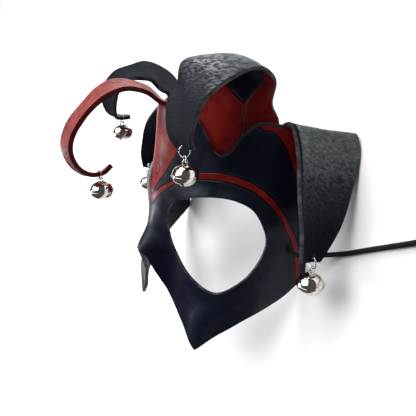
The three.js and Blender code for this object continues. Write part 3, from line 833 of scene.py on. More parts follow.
@dataclass(frozen=True)
class LeatherWork:
    """How sheets become leather of its real thickness."""

    finishes: Sequence[Material]
    edge_round: float = 0.5
    wave: float = 14
    wave_height: float = 0.45
    calm: float = 4

    def make(self, piece: Piece, name: str, holes: Sequence[Hole]) -> Piece:
        """Turns a sheet into leather with soft edges and holes.

        Args:
            piece: The sheet.
            name: The finished piece's name.
            holes: Holes to punch.

        Returns:
            The finished piece, lying where it belongs.
        """
        activate(piece)
        bpy.ops.object.mode_set(mode="EDIT")
        bpy.ops.mesh.select_all(action="SELECT")
        bpy.ops.mesh.remove_doubles(threshold=1e-3)
        bpy.ops.object.mode_set(mode="OBJECT")
        self._make_uneven(piece, holes)
        for material in self.finishes:
            piece.data.materials.append(material)
        apply_modifier(
            piece, "SOLIDIFY", thickness=LEATHER, offset=0, material_offset=1, material_offset_rim=2
        )
        apply_modifier(
            piece, "BEVEL", width=self.edge_round, segments=2, limit_method="ANGLE",
            angle_limit=math.radians(55), use_clamp_overlap=True,
        )
        for hole in holes:
            hole.punch(piece, 2)
        activate(piece)
        bpy.ops.object.shade_smooth_by_angle(angle=math.radians(50))
        return lay(piece, name)

    def _make_uneven(self, piece: Piece, holes: Sequence[Hole]) -> None:
        """Moves the sheet's points a little in and out, and leaves them alone round the holes.

        Args:
            piece: The sheet.
            holes: Holes that will be punched.
        """
        mesh = piece.data
        place, normal = (np.empty(len(mesh.vertices) * 3) for _ in range(2))
        mesh.vertices.foreach_get("co", place)
        mesh.vertices.foreach_get("normal", normal)
        place, normal = place.reshape(-1, 3), normal.reshape(-1, 3)
        amount = self._waves(place, self.wave, self.wave_height, 3.1)
        amount += self._waves(place, self.wave / 3, self.wave_height / 4, 8.7)
        for hole in holes:
            far = np.linalg.norm(place - hole.centre, axis=1)
            amount *= smooth_step((far - self.calm) / self.wave)
        mesh.vertices.foreach_set("co", (place + normal * amount[:, None]).ravel())
        mesh.update()

    def _waves(self, points: Array, size: float, height: float, seed: float) -> Array:
        """Returns slow uneven heights, the same each run, of waves this long and high."""
        offset = Vector((seed, seed * 2.3, -seed))
        return np.array([noise.noise(Vector(p) / size + offset) for p in points]) * height


@dataclass(frozen=True)
class Hanging:
    """What hangs from one horn. Radii of rings are to the middle of the wire."""

    spot: Spot
    bell_radius: float
    ring_radius: float
    has_link: bool
    hole_radius: float = 1.4
    hole_to_edge: float = 3
    # Half the wire's thickness, and the gap between wires that hang in each other
    wire: float = 0.4
    gap: float = 0.32
    link_radius: float = 2
    loop_radius: float = 1.6
    loop_rise: float = 0.9
    # How far the bell's band stands out, as a share of its radius, and its body's height against its width
    rim: float = 0.05
    squat: float = 0.82

    @property
    def hole(self) -> Hole:
        """The ring's hole through the leather."""
        centre = self.spot.edge - self.spot.to_edge * self.hole_to_edge
        return Hole(centre, self.spot.normal, self.hole_radius)

    @property
    def ring_axis(self) -> Array:
        """Axis of the large ring, which is level."""
        return unit(np.cross(self.spot.to_edge, self.spot.normal) * np.array([1, 0, 1]))

    @property
    def across(self) -> Array:
        """Level direction across the large ring's axis."""
        return np.cross(self.ring_axis, DOWN)

    @property
    def ring_centre(self) -> Array:
        """Middle of the large ring, which hangs from the strap of leather outside its hole."""
        strap = self.hole_to_edge - self.hole_radius
        inner = self.ring_radius - self.wire - self.gap
        drops = []
        for s in (1, -1):
            for t in (1, -1):
                corner = self.spot.to_edge * s * strap / 2 + self.spot.normal * t * LEATHER / 2
                drops.append(math.sqrt(inner**2 - (corner @ self.across) ** 2) + corner @ DOWN)
        return self.spot.edge - self.spot.to_edge * strap / 2 + DOWN * min(drops)

    @property
    def link_centre(self) -> Array:
        """Middle of the small link."""
        return self.ring_centre + DOWN * (self.ring_radius + self.link_radius - 2 * self.wire - self.gap)

    @property
    def bell_top(self) -> float:
        """Height of the bell's body over its middle."""
        return self.bell_radius * (1 - self.rim) * self.squat

    @property
    def bell_centre(self) -> Array:
        """Middle of the bell's body."""
        held = (self.link_centre, self.link_radius) if self.has_link else (self.ring_centre, self.ring_radius)
        drop = self.loop_radius - 2 * self.wire - self.gap + self.bell_top + self.loop_rise
        return held[0] + DOWN * (held[1] + drop)

    @property
    def loop_axis(self) -> Array:
        """Axis of the loop on the bell."""
        return self.ring_axis if self.has_link else self.across


@dataclass(frozen=True)
class MaskFront:
    """The mask's front layer: face, outer horns and centre horn, cut from one sheet of leather."""

    pattern: FacePattern
    lace_hole_at: tuple[float, float] = (100.5, -28)
    lace_hole_radius: float = 2

    @property
    def outer(self) -> dict[Side, OuterHorn]:
        """The outer horns by side."""
        return {side: OuterHorn(self.pattern, side) for side in Side}

    @property
    def centre(self) -> CentreHorn:
        """The centre horn."""
        return CentreHorn(self.pattern)

    def lace_hole(self, side: Side) -> Hole:
        """Finds the lace hole at a temple.

        Args:
            side: The side that it is on.

        Returns:
            The hole.
        """
        u, v = (np.array([value], float) for value in self.lace_hole_at)
        u = u if side is Side.LEFT else -u
        face = self.pattern.face
        return Hole(face.points(u, v)[0], face.normals(u, v)[0], self.lace_hole_radius)

    def build(self, work: LeatherWork, hangings: Sequence[Hanging]) -> Piece:
        """Makes the front layer.

        Args:
            work: How the leather is made.
            hangings: What hangs from it, for the holes.

        Returns:
            The finished piece.
        """
        face = self.pattern.sheet()
        outer = self.outer
        sheets = {
            "face left": face,
            "face right": face.mirrored(),
            "outer horn left": outer[Side.LEFT].sheet(),
            "outer horn right": outer[Side.RIGHT].sheet().mirrored(),
            "centre horn": self.centre.sheet(),
        }
        pieces = [sheet.build(name) for name, sheet in sheets.items()]
        activate(*pieces)
        bpy.ops.object.join()
        holes = [hanging.hole for hanging in hangings] + [self.lace_hole(side) for side in Side]
        return work.make(pieces[0], "mask_front_leather", holes)


@dataclass(frozen=True)
class Bell:
    """A jingle bell's body: two thin cups with a band between them, and crossed slits below."""

    radius: float
    # The band: how far it stands out, half its height and how soft it is, as shares of the radius
    rim: float
    band: float = 0.06
    band_soft: float = 0.018
    wall: float = 0.8
    slit: float = 1.3
    # Length and drop of the slits, and place of their end holes, as shares of the cups' radius
    slit_length: float = 1.7
    slit_drop: float = 0.7
    slit_end: float = 1.05
    slit_end_at: tuple[float, float] = (0.85, -0.527)

    def model(self) -> Piece:
        """Models the body, round and with z up.

        Returns:
            The body.
        """
        side = self.radius * (1 - self.rim)
        deselect()
        bpy.ops.mesh.primitive_uv_sphere_add(segments=72, ring_count=44, radius=side)
        body = bpy.context.object
        bpy.ops.object.mode_set(mode="EDIT")
        bpy.ops.mesh.select_mode(type="FACE")
        bpy.ops.mesh.select_all(action="DESELECT")
        bpy.ops.object.mode_set(mode="OBJECT")
        for face in body.data.polygons:
            face.select = abs(face.center.z) < self.radius * self.band
        bpy.ops.object.mode_set(mode="EDIT")
        out = self.radius * self.rim
        bpy.ops.mesh.extrude_region_shrink_fatten(TRANSFORM_OT_shrink_fatten={"value": out})
        bpy.ops.mesh.bevel(offset=self.radius * self.band_soft, segments=2, affect="EDGES")
        bpy.ops.object.mode_set(mode="OBJECT")
        apply_modifier(body, "SOLIDIFY", thickness=self.wall, offset=-1)
        for cutter in self._slit_cutters(side):
            apply_modifier(body, "BOOLEAN", operation="DIFFERENCE", object=cutter, solver="MANIFOLD")
            bpy.data.objects.remove(cutter)
        activate(body)
        bpy.ops.object.shade_smooth_by_angle(angle=math.radians(35))
        return body

    def _slit_cutters(self, side: float) -> list[Piece]:
        """Models what cuts the crossed slits and the round holes that end them.

        Args:
            side: Radius of the cups.

        Returns:
            The cutters.
        """
        cutters = []
        for turn in (45, 135):
            bpy.ops.mesh.primitive_cube_add(
                size=1, location=(0, 0, -self.slit_drop * side), rotation=(0, 0, math.radians(turn)),
                scale=(self.slit_length * side, self.slit, side),
            )
            cutters.append(bpy.context.object)
        end = Vector((self.slit_end_at[0], 0, self.slit_end_at[1]))
        for turn in (45, 135, 225, 315):
            out = Matrix.Rotation(math.radians(turn), 3, "Z") @ end
            bpy.ops.mesh.primitive_cylinder_add(
                vertices=28, radius=self.slit_end, depth=side, location=out * side,
                rotation=turn_to(out).to_euler(),
            )
            cutters.append(bpy.context.object)
        return cutters


@dataclass(frozen=True)
class Ring:
    """A ring of wire whose two ends almost meet."""

    radius: float
    wire: float
    segments: int = 72
    # Share of a segment left open on each side of the joint
    opening: float = 0.6

    def model(self) -> Piece:
        """Models the ring.

        Returns:
            The ring, flat in x and y.
        """
        deselect()
        bpy.ops.mesh.primitive_torus_add(
            major_radius=self.radius, minor_radius=self.wire, major_segments=self.segments, minor_segments=12
        )
        ring = bpy.context.object
        bpy.ops.object.mode_set(mode="EDIT")
        bpy.ops.mesh.select_all(action="DESELECT")
        bpy.ops.object.mode_set(mode="OBJECT")
        gap = self.opening * 2 * math.pi / self.segments
        for vertex in ring.data.vertices:
            vertex.select = abs(math.atan2(vertex.co.y, vertex.co.x)) < gap
        bpy.ops.object.mode_set(mode="EDIT")
        bpy.ops.mesh.select_mode(type="VERT")
        bpy.ops.mesh.delete(type="VERT")
        bpy.ops.mesh.select_all(action="SELECT")
        bpy.ops.mesh.fill_holes(sides=0)
        bpy.ops.mesh.normals_make_consistent(inside=False)
        bpy.ops.object.mode_set(mode="OBJECT")
        bpy.ops.object.shade_smooth_by_angle(angle=math.radians(40))
        return ring


@dataclass
class Metalwork:
    """Maker of the rings, links and bells; each shape is modelled once and copied."""

    nickel: Material
    masters: dict[Ring | Bell, Piece] = field(default_factory=dict)

    def _copy(self, shape: Ring | Bell) -> Piece:
        """Copies a shape, which is modelled the first time.

        Args:
            shape: The shape.

        Returns:
            The copy, with its own mesh.
        """
        if shape not in self.masters:
            master = shape.model()
            master.data.materials.clear()
            master.data.materials.append(self.nickel)
            self.masters[shape] = master
        master = self.masters[shape]
        piece = master.copy()
        piece.data = master.data.copy()
        bpy.context.scene.collection.objects.link(piece)
        return piece

    def ring(self, name: str, hanging: Hanging) -> Piece:
        """Returns the large ring through the horn."""
        piece = self._copy(Ring(hanging.ring_radius, hanging.wire))
        return lay(piece, name, Matrix.Translation(hanging.ring_centre) @ turn_to(hanging.ring_axis))

    def link(self, name: str, hanging: Hanging) -> Piece:
        """Returns the small link between ring and bell."""
        piece = self._copy(Ring(hanging.link_radius, hanging.wire))
        return lay(piece, name, Matrix.Translation(hanging.link_centre) @ turn_to(hanging.across))

    def bell(self, name: str, hanging: Hanging) -> Piece:
        """Makes a bell, with the loop that it hangs by.

        Args:
            name: Its name.
            hanging: What it belongs to.

        Returns:
            The bell.
        """
        body = self._copy(Bell(hanging.bell_radius, hanging.rim))
        loop = self._copy(Ring(hanging.loop_radius, hanging.wire))
        upright = Matrix.Rotation(math.radians(-90), 4, "X")
        body.data.transform(upright @ Matrix.Diagonal((1, 1, hanging.squat, 1)))
        up = Vector((0, hanging.bell_top + hanging.loop_rise, 0))
        loop.data.transform(Matrix.Translation(up) @ turn_to(hanging.loop_axis))
        activate(body, loop)
        bpy.ops.object.join()
        return lay(body, name, Matrix.Translation(hanging.bell_centre))

    def clear(self) -> None:
        """Removes the masters."""
        for master in self.masters.values():
            bpy.data.objects.remove(master)


@dataclass(frozen=True)
class Lace:
    """The loose suede lace, from its start inside the temple to its coil on the surface."""

    hole: Hole
    thickness: float = 3.2
    length: float = 0.45
    # Its middle as the mask lies: sideways and upwards from the hole, and height above the surface
    route: Points = (
        (-4.3, 0.2, 18.5), (0, 0, 19.5), (4.1, -0.2, 20.3), (8.6, 0.5, 19.6), (12.6, 2.1, 16.6),
        (16.1, 3.8, 12), (19.9, 5.8, 7.2), (24.6, 8.4, 3.4), (30.6, 11.8, 1.8), (37.1, 15.9, 1.7),
        (44.1, 20.3, 1.7), (52.1, 25.2, 1.7), (60.1, 30.1, 1.7), (69.6, 36, 1.7), (78.9, 41.8, 1.7),
    )
    coil_centre: tuple[float, float] = (101.3, 29.8)
    coil_outer: float = 22
    coil_turns: float = 3.2
    coil_pitch: float = 3.4
    points_a_turn: int = 24

    @cached_property
    def exit(self) -> Array:
        """Where the lace leaves the leather, as the mask lies."""
        return np.array(lay_down() @ Vector(self.hole.centre)) / MM

    def middle(self) -> Array:
        """Returns the points of the lace's middle, as it lies."""
        tangent = np.array(self.route[-1]) - np.array(self.route[-2])
        start = math.atan2(tangent[0], -tangent[1])
        coil = []
        for i in range(int(self.coil_turns * self.points_a_turn) + 1):
            turns = i / self.points_a_turn
            angle = start - 2 * math.pi * turns
            r = self.coil_outer - self.coil_pitch * turns
            x, y = self.coil_centre
            coil.append((x + r * math.cos(angle), y + r * math.sin(angle), self.route[-1][2]))
        return np.array([*self.route, *coil]) + self.exit * np.array([1, 1, 0])

    def build(self, suede: Material) -> Piece:
        """Makes the lace as one open curve with its thickness.

        Args:
            suede: Its finish.

        Returns:
            The lace.
        """
        points = self.middle() * MM
        deselect()
        bpy.ops.curve.primitive_bezier_curve_add()
        lace = bpy.context.object
        lace.name = lace.data.name = "suede_lace"
        curve = lace.data
        knots = curve.splines[0].bezier_points
        knots.add(len(points) - len(knots))
        for knot, point in zip(knots, points):
            knot.co = point
            knot.handle_left_type = knot.handle_right_type = "AUTO"
        curve.dimensions = "3D"
        curve.resolution_u = 6
        curve.bevel_depth = self.thickness / 2 * MM
        curve.bevel_resolution = 5
        curve.use_fill_caps = True
        curve.materials.append(suede)
        return lace


class Wiring:
    """Short ways to add nodes to a shader or a node group."""

    def __init__(self, tree: bpy.types.NodeTree) -> None:
        """Starts on a node tree."""
        self.tree = tree

    def add(self, kind: str, **settings: object) -> bpy.types.Node:
        """Adds a node.

        Args:
            kind: Its kind.
            **settings: Its properties by name.

        Returns:
            The node.
        """
        node = self.tree.nodes.new(kind)
        for name, value in settings.items():
            setattr(node, name, value)
        return node

    def feed(self, socket: Socket, value: object) -> None:
        """Feeds a socket.

        Args:
            socket: The socket.
            value: What it is set to, or the socket that is linked to it.
        """
        if isinstance(value, Socket):
            self.tree.links.new(value, socket)
        else:
            socket.default_value = value

    def math(self, operation: str, *values: object) -> Socket:
        """Adds a math node.

        Args:
            operation: What it works out.
            *values: What it works on.

        Returns:
            Its result.
        """
        node = self.add("ShaderNodeMath", operation=operation)
        for socket, value in zip(node.inputs, values):
            self.feed(socket, value)
        return node.outputs[0]

    def blend(self, a: object, share_a: float, b: object, share_b: float) -> Socket:
        """Returns the sum of two values, each times its share."""
        return self.math("ADD", self.math("MULTIPLY", a, share_a), self.math("MULTIPLY", b, share_b))

    def fade(self, value: object, start: float, end: float, low: float = 0, high: float = 1) -> Socket:
        """Maps a value softly from one range to another.

        Args:
            value: The value.
            start, end: Ends of its range.
            low, high: What they become.

        Returns:
            The mapped value.
        """
        node = self.add("ShaderNodeMapRange", interpolation_type="SMOOTHSTEP")
        for socket, v in zip(node.inputs, (value, start, end, low, high)):
            self.feed(socket, v)
        return node.outputs[0]

    def near(self, value: object, target: float, outside: float, inside: float) -> Socket:
        """Returns 1 where a value is within one distance of the target, fading to 0 at the other."""
        return self.fade(self.math("ABSOLUTE", self.math("SUBTRACT", value, target)), outside, inside)

    def mix(self, factor: object, a: object, b: object) -> Socket:
        """Mixes two colours.

        Args:
            factor: Share of the second one.
            a: The first colour.
            b: The second colour.

        Returns:
            The mixed colour.
        """
        node = self.add("ShaderNodeMix", data_type="RGBA")
        for name, value in (("Factor", factor), ("A", a), ("B", b)):
            self.feed(next(s for s in node.inputs if s.name == name and s.enabled), value)
        return next(s for s in node.outputs if s.enabled)

    def noise(self, vector: object, size: float, detail: float = 3, rough: float = 0.5) -> Socket:
        """Adds noise.

        Args:
            vector: The place.
            size: Size of its blots in millimetres.
            detail: How many finer layers it has.
            rough: How strong they are.

        Returns:
            Its value.
        """
        node = self.add("ShaderNodeTexNoise")
        values = {"Vector": vector, "Scale": 1 / (size * MM), "Detail": detail, "Roughness": rough}
        for name, value in values.items():
            self.feed(node.inputs[name], value)
        return node.outputs[0]

    def attribute(self, name: str) -> Socket:
        """Returns a value stored in the piece's points."""
        return self.add("ShaderNodeAttribute", attribute_name=name).outputs["Fac"]


class SharedEffect:
    """An effect that several finishes use: values over a place, worked out in a node group."""

    def __init__(self, name: str, outputs: Sequence[str]) -> None:
        """Starts the effect, with a place coming in.

        Args:
            name: Its name.
            outputs: Names of the values that go out.
        """
        self.tree = bpy.data.node_groups.new(name, "ShaderNodeTree")
        self.tree.interface.new_socket(name="Vector", in_out="INPUT", socket_type="NodeSocketVector")
        for label in outputs:
            self.tree.interface.new_socket(name=label, in_out="OUTPUT", socket_type="NodeSocketFloat")
        self.w = Wiring(self.tree)
        self.place = self.w.add("NodeGroupInput").outputs["Vector"]
        self.out = self.w.add("NodeGroupOutput")

    def give(self, label: str, value: Socket) -> None:
        """Sends a value out."""
        self.w.feed(self.out.inputs[label], value)

    def use(self, w: Wiring, place: Socket) -> dict[str, Socket]:
        """Uses the effect in a finish.

        Args:
            w: The finish's wiring.
            place: The place.

        Returns:
            The effect's values there, by name.
        """
        node = w.add("ShaderNodeGroup", node_tree=self.tree)
        w.feed(node.inputs["Vector"], place)
        return {socket.name: socket for socket in node.outputs}


def leather_grain() -> SharedEffect:
    """Makes the effect of leather grain.

    Returns:
        A slow mottle, and the height of fine creases and pores.
    """
    effect = SharedEffect("leather grain", ("Mottle", "Height"))
    w = effect.w
    slow = w.noise(effect.place, 22, 2)
    patchy = w.noise(effect.place, 5, 4, 0.6)
    pores = w.noise(effect.place, 0.9, 2)
    effect.give("Mottle", w.blend(slow, 0.6, patchy, 0.4))
    effect.give("Height", w.blend(patchy, 0.6, pores, 0.25))
    return effect


def leather_nap(crease_turn: float = 57, crease_length: float = 2.6) -> SharedEffect:
    """Makes the effect of the rough side: blotchy dye, and the height of its creases and fibres.

    Args:
        crease_turn: The way that the creases run, in degrees round y.
        crease_length: How much longer than wide they are.

    Returns:
        The effect.
    """
    effect = SharedEffect("leather nap", ("Blotch", "Fibre", "Height"))
    w = effect.w
    drawn = w.add("ShaderNodeMapping", vector_type="TEXTURE")
    w.feed(drawn.inputs["Vector"], effect.place)
    drawn.inputs["Rotation"].default_value = (0, math.radians(crease_turn), 0)
    drawn.inputs["Scale"].default_value = (crease_length, 1, 1)
    creases = w.noise(drawn.outputs[0], 1.5, 5, 0.62)
    fibre = w.noise(effect.place, 0.8, 3, 0.7)
    effect.give("Blotch", w.noise(effect.place, 7, 5, 0.65))
    effect.give("Fibre", fibre)
    effect.give("Height", w.blend(creases, 1.3, fibre, 0.45))
    return effect


class Dressing(Wiring):
    """The material of one finish: its shader, and the place on the mask."""

    def __init__(self, name: str) -> None:
        """Starts the material.

        Args:
            name: Its name.
        """
        self.material = bpy.data.materials.new(name)
        self.material.use_nodes = True
        super().__init__(self.material.node_tree)
        self.shader = next(node for node in self.tree.nodes if node.type == "BSDF_PRINCIPLED")
        self.place = self.add("ShaderNodeTexCoord").outputs["Object"]

    def finish(self, looks: dict[str, object], relief: object = None, depth: float = 0) -> Material:
        """Finishes the material.

        Args:
            looks: What goes into the shader, by its sockets.
            relief: The height of its relief.
            depth: How deep that is, in millimetres.

        Returns:
            The material.
        """
        for name, value in looks.items():
            self.feed(self.shader.inputs[name], value)
        if relief is not None:
            bump = self.add("ShaderNodeBump")
            self.feed(bump.inputs["Height"], relief)
            bump.inputs["Distance"].default_value = depth * MM
            self.feed(self.shader.inputs["Normal"], bump.outputs[0])
        return self.material


@dataclass(frozen=True)
class SmoothSide:
    """Smooth side of the leather: black and crimson dye parted by tooled lines, with a painted highlight on
    the lip beside them.
    """

    grain: SharedEffect
    black: Colour = (0.0026, 0.0038, 0.0130, 1)
    black_worn: Colour = (0.0055, 0.0075, 0.0205, 1)
    red: Colour = (0.15, 0.0025, 0.0025, 1)
    red_worn: Colour = (0.25, 0.009, 0.007, 1)
    line: Colour = (0.0015, 0.0015, 0.002, 1)
    red_line: Colour = (0.05, 0.003, 0.003, 1)
    # Painted highlight: a pale line on the lip just outside each tooled line round the red
    lip_highlight: Colour = (0.035, 0.038, 0.048, 1)
    edge: Colour = (0.012, 0.013, 0.018, 1)
    edge_worn: Colour = (0.05, 0.052, 0.052, 1)
    sheen: Colour = (0.86, 0.94, 1.0, 1)
    rim: float = 1.7
    # How far from the red the painted highlight runs
    lip_highlight_at: float = 1.1
    mark_centre: tuple[float, float] = (0, 18)
    mark_size: tuple[float, float] = (3.1, 4)
    seam_apart: float = 1.9

    def material(self) -> Material:
        """Returns the finish's material."""
        w = Dressing("black and crimson leather")
        grain = self.grain.use(w, w.place)
        paint = w.attribute("paint")
        ragged = w.math("ADD", paint, w.math("MULTIPLY", w.math("SUBTRACT", grain["Height"], 0.4), 0.35))
        is_red = w.fade(ragged, 0.10, -0.10)
        wear = w.fade(grain["Mottle"], 0.38, 0.66)
        line = self._lines(w, paint)
        colour = w.mix(is_red, w.mix(wear, self.black, self.black_worn), w.mix(wear, self.red, self.red_worn))
        # Painted highlight along the lip beside the tooled lines
        colour = w.mix(w.math("MULTIPLY", w.near(paint, self.lip_highlight_at, 0.34, 0.1), 0.5), colour, self.lip_highlight)
        colour = w.mix(w.math("MULTIPLY", line, 0.9), colour, w.mix(is_red, self.line, self.red_line))
        rim = w.fade(w.attribute("rim"), self.rim + 0.25, self.rim - 0.25)
        looks = {
            "Base Color": w.mix(rim, colour, w.mix(wear, self.edge, self.edge_worn)),
            "Roughness": w.fade(grain["Mottle"], 0.3, 0.7, 0.33, 0.46),
            "Specular IOR Level": 0.22,
            "Specular Tint": self.sheen,
        }
        return w.finish(looks, w.math("SUBTRACT", w.math("MULTIPLY", grain["Height"], 0.3), line), 0.6)

    def _lines(self, w: Wiring, paint: Socket) -> Socket:
        """Finds the tooled lines: round the red, round the mark on the forehead and down the double seam.

        Args:
            w: The material's wiring.
            paint: Distance from the edge of the red.

        Returns:
            How much of a line there is at each place.
        """
        apart = w.add("ShaderNodeSeparateXYZ")
        w.feed(apart.inputs[0], w.add("ShaderNodeUVMap", uv_map="UVMap").outputs[0])
        squares = []
        for i in (0, 1):
            offset = w.math("SUBTRACT", apart.outputs[i], self.mark_centre[i] * MM)
            share = w.math("DIVIDE", offset, self.mark_size[i] * MM)
            squares.append(w.math("MULTIPLY", share, share))
        mark = w.near(w.math("SQRT", w.math("ADD", *squares)), 1, 0.16, 0.06)
        seam = w.near(w.math("ABSOLUTE", w.attribute("seam")), self.seam_apart / 2, 0.5, 0.15)
        return w.math("MAXIMUM", w.near(paint, 0.25, 0.62, 0.2), w.math("MAXIMUM", mark, seam))


@dataclass(frozen=True)
class RoughSide:
    """Rough side of the leather: blotchy black dye showing grey in blotches, with painted light, paler grey
    where light falls and violet to black in shade, or brick red on the centre horn.
    """

    nap: SharedEffect
    dark: Colour = (0.0022, 0.0026, 0.0055, 1)
    # Painted light: a pale grey where light falls, turning violet further into shade
    lit_grey: Colour = (0.078, 0.087, 0.087, 1)
    shaded_violet: Colour = (0.014, 0.016, 0.032, 1)
    red: Colour = (0.30, 0.045, 0.033, 1)
    red_dark: Colour = (0.05, 0.004, 0.004, 1)
    sheen: Colour = (0.68, 0.78, 1.0, 1)
    glint: Colour = (0.86, 0.94, 1.0, 1)
    rim: float = 3.2

    def material(self) -> Material:
        """Returns the finish's material."""
        w = Dressing("leather rough side")
        nap = self.nap.use(w, w.place)
        # Painted shade from the sheet, plus darker within the rim distance of the front edge
        painted_shade = w.math("ADD", w.attribute("painted_shade"), w.fade(w.attribute("rim"), self.rim + 0.5, self.rim - 0.8))
        blotch = w.blend(nap["Blotch"], 0.5, nap["Fibre"], 0.7)
        # Painted light turns the pale grey to violet in shade; the black covers more in blotches and in
        # painted shade
        pale = w.mix(w.fade(painted_shade, 0.15, 0.6), self.lit_grey, self.shaded_violet)
        blotch_and_shade = w.fade(w.math("ADD", blotch, w.math("MULTIPLY", painted_shade, 0.34)), 0.50, 0.92)
        red = w.mix(w.fade(blotch, 0.48, 0.78), self.red, self.red_dark)
        soft = w.fade(nap["Fibre"], 0.3, 0.7, 0.5, 0.7)
        looks = {
            "Base Color": w.mix(w.attribute("warm"), w.mix(blotch_and_shade, pale, self.dark), red),
            "Roughness": w.math("ADD", soft, w.fade(painted_shade, 0.85, 1.05, 0, 0.3)),
            "Specular IOR Level": 0.15,
            "Specular Tint": self.sheen,
            "Coat Tint": self.glint,
            # Coat glints on raised creases, only where the painted shade is light
            "Coat Weight": w.math("MULTIPLY", w.fade(nap["Height"], 0.75, 1.05), w.fade(painted_shade, 1.0, 0.1)),
            "Coat Roughness": 0.34,
        }
        return w.finish(looks, nap["Height"], 1.15)


@dataclass(frozen=True)
class CutEdge:
    """Cut edges of the leather, dyed dark, and dark red on the centre horn."""

    nap: SharedEffect
    edge: Colour = (0.012, 0.013, 0.018, 1)
    edge_worn: Colour = (0.05, 0.052, 0.052, 1)
    red: Colour = (0.055, 0.0015, 0.0015, 1)

    def material(self) -> Material:
        """Returns the finish's material."""
        w = Dressing("leather cut edge")
        nap = self.nap.use(w, w.place)
        black = w.mix(w.fade(nap["Blotch"], 0.4, 0.62), self.edge, self.edge_worn)
        looks = {
            "Base Color": w.mix(w.attribute("warm"), black, self.red),
            "Roughness": w.fade(nap["Fibre"], 0.3, 0.7, 0.5, 0.7),
            "Specular IOR Level": 0.15,
        }
        return w.finish(looks, nap["Height"], 0.12)


@dataclass(frozen=True)
class Nickel:
    """Bright nickel plate, a little stained and uneven."""

    bright: Colour = (0.64, 0.605, 0.55, 1)
    dull: Colour = (0.36, 0.33, 0.29, 1)

    def material(self) -> Material:
        """Returns the finish's material."""
        w = Dressing("bright nickel")
        stain = w.noise(w.place, 3.5, 4, 0.6)
        looks = {
            "Base Color": w.mix(w.fade(stain, 0.45, 0.75), self.bright, self.dull),
            "Metallic": 1,
            "Roughness": w.fade(stain, 0.3, 0.7, 0.07, 0.16),
        }
        return w.finish(looks, w.noise(w.place, 2.2, 2), 0.05)


@dataclass(frozen=True)
class Suede:
    """Black suede of the lace."""

    dark: Colour = (0.006, 0.0055, 0.006, 1)
    worn: Colour = (0.028, 0.025, 0.024, 1)

    def material(self) -> Material:
        """Returns the finish's material."""
        w = Dressing("black suede")
        fuzz = w.noise(w.place, 0.7, 4, 0.7)
        looks = {
            "Base Color": w.mix(w.fade(fuzz, 0.45, 0.75), self.dark, self.worn),
            "Roughness": w.fade(fuzz, 0.3, 0.7, 0.85, 0.98),
            "Specular IOR Level": 0.2,
        }
        return w.finish(looks, fuzz, 0.4)


@dataclass(frozen=True)
class FloorPaint:
    """Matt pale paint of the floor."""

    low: Colour = (0.84, 0.84, 0.86, 1)
    high: Colour = (0.87, 0.87, 0.89, 1)

    def material(self) -> Material:
        """Returns the finish's material."""
        w = Dressing("pale floor")
        colour = w.mix(w.noise(w.place, 160, 2), self.low, self.high)
        return w.finish({"Base Color": colour, "Roughness": 0.95, "Specular IOR Level": 0.1})


@dataclass(frozen=True)
class JesterMask:
    """The whole mask."""

    pattern: FacePattern = FacePattern(Face(), Paintwork())
    large_bell: float = 8.5
    small_bell: float = 7.5
    large_ring: float = 3.6
    small_ring: float = 2.8

    @cached_property
    def front(self) -> MaskFront:
        """The front layer."""
        return MaskFront(self.pattern)

    @cached_property
    def inner(self) -> dict[Side, InnerHorn]:
        """The inner horns by side."""
        return {side: InnerHorn(self.pattern.face, side) for side in Side}

    @cached_property
    def hangings(self) -> dict[str, Hanging]:
        """What hangs from each horn, by its name; rows and columns are counted as in the coarser solids."""
        outer = {side: horn.rows() for side, horn in self.front.outer.items()}
        inner = {side: horn.rows() for side, horn in self.inner.items()}
        centre = Spot.at_side(self.front.centre.rows(), 23)
        inner_left = Spot.at_end(inner[Side.LEFT], 4)
        inner_right = Spot.at_side(inner[Side.RIGHT], 22).flipped()
        outer_left = Spot.at_end(outer[Side.LEFT], 2)
        outer_right = Spot.at_end(outer[Side.RIGHT], 4).flipped()
        return {
            "centre": Hanging(centre, self.small_bell, self.small_ring, has_link=False),
            "inner_left": Hanging(inner_left, self.large_bell, self.large_ring, has_link=True),
            "inner_right": Hanging(inner_right, self.small_bell, self.small_ring, has_link=False),
            "outer_left": Hanging(outer_left, self.large_bell, self.large_ring, has_link=True),
            "outer_right": Hanging(outer_right, self.large_bell, self.large_ring, has_link=True),
        }

    def build_leather(self) -> None:
        """Makes the front layer and the two inner horns."""
        nap = leather_nap()
        finishes = (SmoothSide(leather_grain()), RoughSide(nap), CutEdge(nap))
        work = LeatherWork([finish.material() for finish in finishes])
        hangings = self.hangings
        front = self.front.build(work, [hangings[name] for name in ("centre", "outer_left", "outer_right")])
        self._settle(front, "black_leather", "mask_front")
        for side, horn in self.inner.items():
            sheet = horn.sheet() if side is Side.LEFT else horn.sheet().mirrored()
            name = f"inner_horn_{side.value}"
            piece = work.make(sheet.build(name), f"{name}_leather", [hangings[f"inner_{side.value}"].hole])
            self._settle(piece, "red_leather", name)

    def build_metalwork(self) -> None:
        """Makes the rings, links and bells."""
        maker = Metalwork(Nickel().material())
        for name, hanging in self.hangings.items():
            self._settle(maker.ring(f"ring_{name}", hanging), "nickel", f"tip_ring_{name}")
            if hanging.has_link:
                self._settle(maker.link(f"link_{name}", hanging), "nickel", f"bell_link_{name}")
            self._settle(maker.bell(f"jingle_{name}", hanging), "nickel", f"bell_{name}")
        maker.clear()

    def build_lace(self) -> None:
        """Makes the lace."""
        run = Lace(self.front.lace_hole(Side.LEFT))
        lace = run.build(Suede().material())
        self._settle(lace, "black_suede", "lace_run", "lace_coil")

    def _settle(self, piece: Piece, slot: str, *nodes: str) -> None:
        """Ties a finished piece to the solids that it stands for, and reports it.

        Args:
            piece: The piece.
            slot: Its material slot; not used.
            *nodes: The solids' nodes.
        """
        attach(piece, "root")
        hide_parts(*nodes)
        count = sum(len(face.vertices) - 2 for face in piece.data.polygons) if piece.type == "MESH" else 0
        log.info("%s is done, with %d triangles", piece.name, count)


